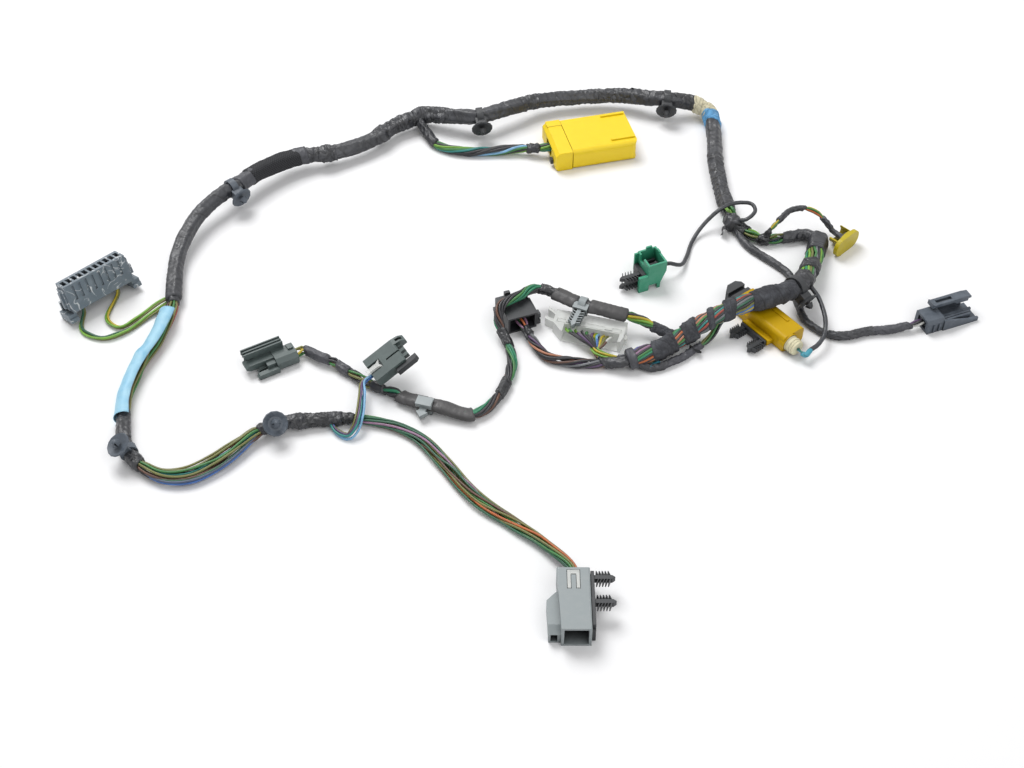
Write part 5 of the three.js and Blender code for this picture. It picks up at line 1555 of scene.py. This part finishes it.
@dataclass(frozen=True)
class TurnedClip:
    """A disc clip that hangs in front of its bundle: the CAD clip, turned round the bundle's line."""

    name: str
    bundle: str
    place: float
    droop: float
    plastic: Plastic = Plastic.SLATE
    edge: float = 0.2

    def build(self, finishes: Finishes) -> bpy.types.Object:
        """Turns a copy of the clip until its disc faces outwards, and dresses it.

        Args:
            finishes: The materials.

        Returns:
            The clip.
        """
        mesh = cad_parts[self.name].data.copy()
        places, along, side, up = Route(ROUTES[self.bundle]).at(np.array([self.place]))
        points = np.empty(len(mesh.vertices) * 3)
        mesh.vertices.foreach_get("co", points)
        points = points.reshape(-1, 3) - places[0]
        sideways = points @ side[0]
        upward = points @ up[0]
        tip = int(np.argmax(sideways**2 + upward**2))
        turn = -math.radians(self.droop) - math.atan2(upward[tip], sideways[tip])
        new_side = sideways * math.cos(turn) - upward * math.sin(turn)
        new_up = sideways * math.sin(turn) + upward * math.cos(turn)
        points = places[0] + np.outer(points @ along[0], along[0])
        points = points + np.outer(new_side, side[0]) + np.outer(new_up, up[0])
        mesh.vertices.foreach_set("co", points.ravel())
        mesh.materials.clear()
        mesh.materials.append(finishes.material(self.plastic))
        piece = add_object(f"{self.name}_turned", mesh)
        edit(piece, lambda: bpy.ops.mesh.remove_doubles(threshold=WELD * MM))
        bpy.ops.object.shade_smooth_by_angle(angle=math.radians(CLIP_SMOOTH))
        soften(piece, self.edge)
        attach(piece, BODY)
        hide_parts(self.name)
        return piece


TURNED_CLIPS = (
    TurnedClip("left_disc_clip", "trunk_left", 112.1, 12.0),
    TurnedClip("back_disc_clip", "trunk_back", 52.5, 14.0, Plastic.BLACK),
    TurnedClip("corner_disc_clip", "trunk_back", 203.7, 14.0, Plastic.BLACK),
    TurnedClip("label_disc_clip", "label_bundle", 138.6, -62.0),
)


@dataclass(frozen=True)
class Tail:
    """One short wire into a bay of the clear connector."""

    bay: float
    colour: WireColour
    tip: WireColour
    arch: float = 2.5


@dataclass(frozen=True)
class TerminalTails:
    """The fan of short wires between the clear connector's bays and its bundle."""

    origin: tuple[float, float, float] = (42.0, -16.5, 0.0)
    heading: float = 74.5
    gather: tuple[float, float, float] = (-9.5, -10.5, 5.0)
    depth: float = 7.4
    height: float = 5.4
    thickness: float = 1.7
    tails: tuple[Tail, ...] = (
        Tail(15.0, C.BLACK, C.LIME, 3.2),
        Tail(12.6, C.BLACK, C.GREEN, 3.6),
        Tail(8.5, C.PURPLE, C.LIME, 4.2),
        Tail(4.0, C.BLACK, C.BLACK, 4.6),
        Tail(0.5, C.BLACK, C.GREEN, 4.2),
        Tail(-3.5, C.BLACK, C.PURPLE, 3.4),
        Tail(-7.5, C.BLUE, C.SKY, 2.6),
        Tail(-11.0, C.YELLOW, C.YELLOW, 2.2),
        Tail(-13.5, C.OLIVE, C.OLIVE, 2.0),
        Tail(-16.0, C.BROWN, C.WHITE, 1.8),
    )

    APART = 0.5
    TIP = 7.0
    OVERLAP = 0.5
    RINGS = 14

    def point(self, ahead: float, aside: float, height: float) -> tuple[float, float, float]:
        """Turns a place in the connector's own axes, in millimetres, to one in the frame."""
        angle = math.radians(self.heading)
        x = self.origin[0] + ahead * math.cos(angle) - aside * math.sin(angle)
        y = self.origin[1] + ahead * math.sin(angle) + aside * math.cos(angle)
        return x * MM, y * MM, height * MM

    def build(self, finishes: Finishes) -> bpy.types.Object:
        """Models the wires.

        Args:
            finishes: The materials.

        Returns:
            The wires, as one piece.
        """
        shell = Shell()
        ahead, aside, height = self.gather
        for at, tail in enumerate(self.tails):
            offset = self.APART * (at - len(self.tails) / 2)
            lean = 0.55 * tail.bay - 4.0
            route = Route(
                (
                    self.point(ahead - 3.0, aside - 1.5 + offset * 0.5, height - 0.6),
                    self.point(ahead, aside + offset, height),
                    self.point(-2.0, lean, height + tail.arch),
                    self.point(3.5, 0.9 * tail.bay, self.height + 0.7 * tail.arch),
                    self.point(self.depth, tail.bay, self.height),
                )
            )
            bundle = Open(0, 1, (tail.colour,), thickness=self.thickness)
            for start, stop, colour in (
                (0.0, route.length - self.TIP, tail.colour),
                (route.length - self.TIP - self.OVERLAP, route.length, tail.tip),
            ):
                marks = np.linspace(start, stop, self.RINGS)
                places, _, side, up = route.at(marks)
                still = np.zeros(len(marks))
                bundle.strand(shell, marks, (places, side, up), still, still, 0, colour)
        piece = shell.build("terminal_tails", [finishes.material(Tape.WIRES)])
        return piece


@dataclass(frozen=True)
class TapeFlag:
    """A loose end of tape, pinched together so that it stands off its bundle."""

    name: str
    place: tuple[float, float, float]
    bearing: float
    length: float
    height: float
    pitch: float = 0.0
    tape: Tape = Tape.VINYL
    thickness: float = 0.45

    CUTS = 5
    SMOOTH = 50

    def build(self, finishes: Finishes) -> bpy.types.Object:
        """Models the flag.

        Args:
            finishes: The materials.

        Returns:
            The flag.
        """
        bpy.ops.object.select_all(action="DESELECT")
        bpy.ops.mesh.primitive_cube_add(size=1.0, location=(0.0, 0.0, 0.0))
        piece = bpy.context.object
        piece.name = self.name
        piece.data.name = self.name
        piece.scale = (self.length * MM, self.thickness * MM, self.height * MM)
        bpy.ops.object.transform_apply(location=False, rotation=False, scale=True)
        edit(piece, lambda: bpy.ops.mesh.subdivide(number_cuts=self.CUTS))
        for vertex in piece.data.vertices:
            share = vertex.co.x / (self.length * MM) + 0.5
            vertex.co.y += 0.9 * MM * math.sin(2.6 * share + vertex.co.z * 900)
            vertex.co.z += 0.5 * MM * math.cos(5.0 * share) - 0.16 * self.height * MM * share
        piece.rotation_euler = (math.radians(self.pitch), 0.0, math.radians(self.bearing))
        piece.location = [value * MM for value in self.place]
        bpy.ops.object.transform_apply(location=True, rotation=True, scale=True)
        bpy.ops.object.shade_smooth_by_angle(angle=math.radians(self.SMOOTH))
        strip = piece.data.uv_layers.active or piece.data.uv_layers.new()
        strip.name = STRIP_MAP
        piece.data.materials.append(finishes.material(self.tape))
        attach(piece, BODY)
        return piece


FLAGS = (
    TapeFlag("trunk_tape_flag", (89.0, 240.5, 17.5), 15.0, 7.0, 4.5, tape=Tape.KNOT),
    TapeFlag("fork_tape_flag", (143.0, 94.0, 5.0), 70.0, 8.0, 7.0, 20.0, Tape.KNOT),
    TapeFlag("parallel_tape_flag", (113.0, -23.5, 4.0), -35.0, 8.0, 5.0, 30.0, Tape.GLOSS),
    TapeFlag("teal_tape_flag", (86.0, -36.0, 3.0), 25.0, 8.5, 5.0, 60.0, Tape.TEAL),
)


@dataclass(frozen=True)
class Studio:
    """The floor, the surroundings, the soft lamps and the camera. Lengths are in metres."""

    target: tuple[float, float, float] = (-0.006, -0.0505, 0.0)
    distance: float = 0.947
    elevation: float = 47.0
    lens: float = 52.0
    floor_size: float = 7.0
    sky: float = 0.42
    white: tuple[float, float, float, float] = (1.0, 1.0, 1.0, 1.0)

    def build(self) -> None:
        """Sets up the floor, the light and the camera."""
        self.camera()
        self.floor()
        self.world()
        self.lamp("key_softbox", (-0.6, 0.9, 1.7), 1.1, 30.0)
        self.lamp("fill_softbox", (0.9, -1.1, 1.8), 1.8, 14.0)

    def camera(self) -> None:
        """Places the camera at the photograph's angle."""
        lens = bpy.data.cameras.new("camera")
        lens.lens = self.lens
        lens.sensor_width = 36.0
        lens.clip_start = 0.01
        camera = add_object("camera", lens)
        angle = math.radians(self.elevation)
        back = Vector((0.0, -math.cos(angle), math.sin(angle)))
        camera.location = Vector(self.target) + back * self.distance
        camera.rotation_euler = (math.radians(90 - self.elevation), 0.0, 0.0)
        bpy.context.scene.camera = camera

    def floor(self) -> None:
        """Lays a plain pale floor."""
        bpy.ops.object.select_all(action="DESELECT")
        bpy.ops.mesh.primitive_plane_add(size=self.floor_size, location=(0.0, 0.0, 0.0))
        floor = bpy.context.object
        floor.name = "floor"
        graph = Surface("matt_white_board")
        place = graph.place()
        colour = graph.mix(graph.noise(place, 2.0, 2.0), "f6f6f7", "f9f9fa")
        material = graph.finish({"Base Color": colour, "Roughness": 0.9, "Specular IOR Level": 0.1})
        self.whiten(graph, place)
        floor.data.materials.append(material)

    def seen(self, graph: Graph) -> Socket:
        """Tells rays that show the surroundings from rays that light the object.

        Args:
            graph: The nodes of the floor or of the surroundings.

        Returns:
            A socket that is 1 for the camera's, mirrored and transmitted rays, and 0 for others.
        """
        rays = add_node(graph.tree, "LightPath").outputs
        direct = graph.calc("MAXIMUM", rays["Is Camera Ray"], rays["Is Glossy Ray"])
        return graph.calc("MAXIMUM", direct, rays["Is Transmission Ray"])

    def whiten(self, graph: Surface, place: Socket) -> None:
        """Shows the camera a white floor away from the object, where the lamps no longer reach.

        Args:
            graph: The floor's material.
            place: The object coordinates.
        """
        reach = add_node(graph.tree, "VectorMath", {0: place}, operation="LENGTH").outputs["Value"]
        far = graph.ramp(reach, 0.4, 0.75, 0.0, 1.0)
        share = graph.calc("MULTIPLY", far, self.seen(graph))
        white = add_node(graph.tree, "Emission", {"Color": self.white, "Strength": 1.0}).outputs[0]
        mixed = add_node(graph.tree, "MixShader", {0: share, 1: graph.shader.outputs[0], 2: white})
        output = next(node for node in graph.tree.nodes if node.type == "OUTPUT_MATERIAL")
        feed(graph.tree, output, {"Surface": mixed.outputs[0]})

    def world(self) -> None:
        """Sets the white surroundings: a weaker sky lights the object than the camera sees."""
        world = bpy.data.worlds.new("surroundings")
        world.use_nodes = True
        bpy.context.scene.world = world
        world.node_tree.nodes.clear()
        graph = Graph(world.node_tree)
        strength = graph.ramp(self.seen(graph), 0.0, 1.0, self.sky, 1.0)
        light = add_node(graph.tree, "Background", {"Color": self.white, "Strength": strength})
        add_node(graph.tree, "OutputWorld", {"Surface": light.outputs[0]})

    def lamp(
        self, name: str, place: tuple[float, float, float], size: float, power: float
    ) -> None:
        """Hangs a soft lamp that points at the object.

        Args:
            name: The lamp's name.
            place: Where it hangs.
            size: The side of its square face.
            power: Its power in watts.
        """
        light = bpy.data.lights.new(name, "AREA")
        light.energy = power
        light.shape = "SQUARE"
        light.size = size
        lamp = add_object(name, light)
        lamp.location = place
        aim = Vector(self.target) - Vector(place)
        lamp.rotation_euler = aim.to_track_quat("-Z", "Y").to_euler()


def main() -> None:
    """Builds and dresses the harness."""
    logging.basicConfig(level=logging.INFO, format="%(message)s")
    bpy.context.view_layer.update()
    scene = bpy.context.scene
    scene.view_settings.view_transform = "Standard"
    Studio().build()
    finishes = Finishes()
    for at, bundle in enumerate(BUNDLES):
        bundle.build(finishes, FIRST_SEED + SEED_STEP * at)
    Label().build()
    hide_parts("cloth_tape")
    for moulding in MOULDINGS:
        moulding.build(finishes)
    LOG.info("moulded parts: %d", len(MOULDINGS))
    for clip in TURNED_CLIPS:
        clip.build(finishes)
    TerminalTails().build(finishes)
    for flag in FLAGS:
        flag.build(finishes)
    LOG.info("turned clips, wire tails and tape flags: %d", len(TURNED_CLIPS) + 1 + len(FLAGS))


if __name__ == "__main__":
    main()
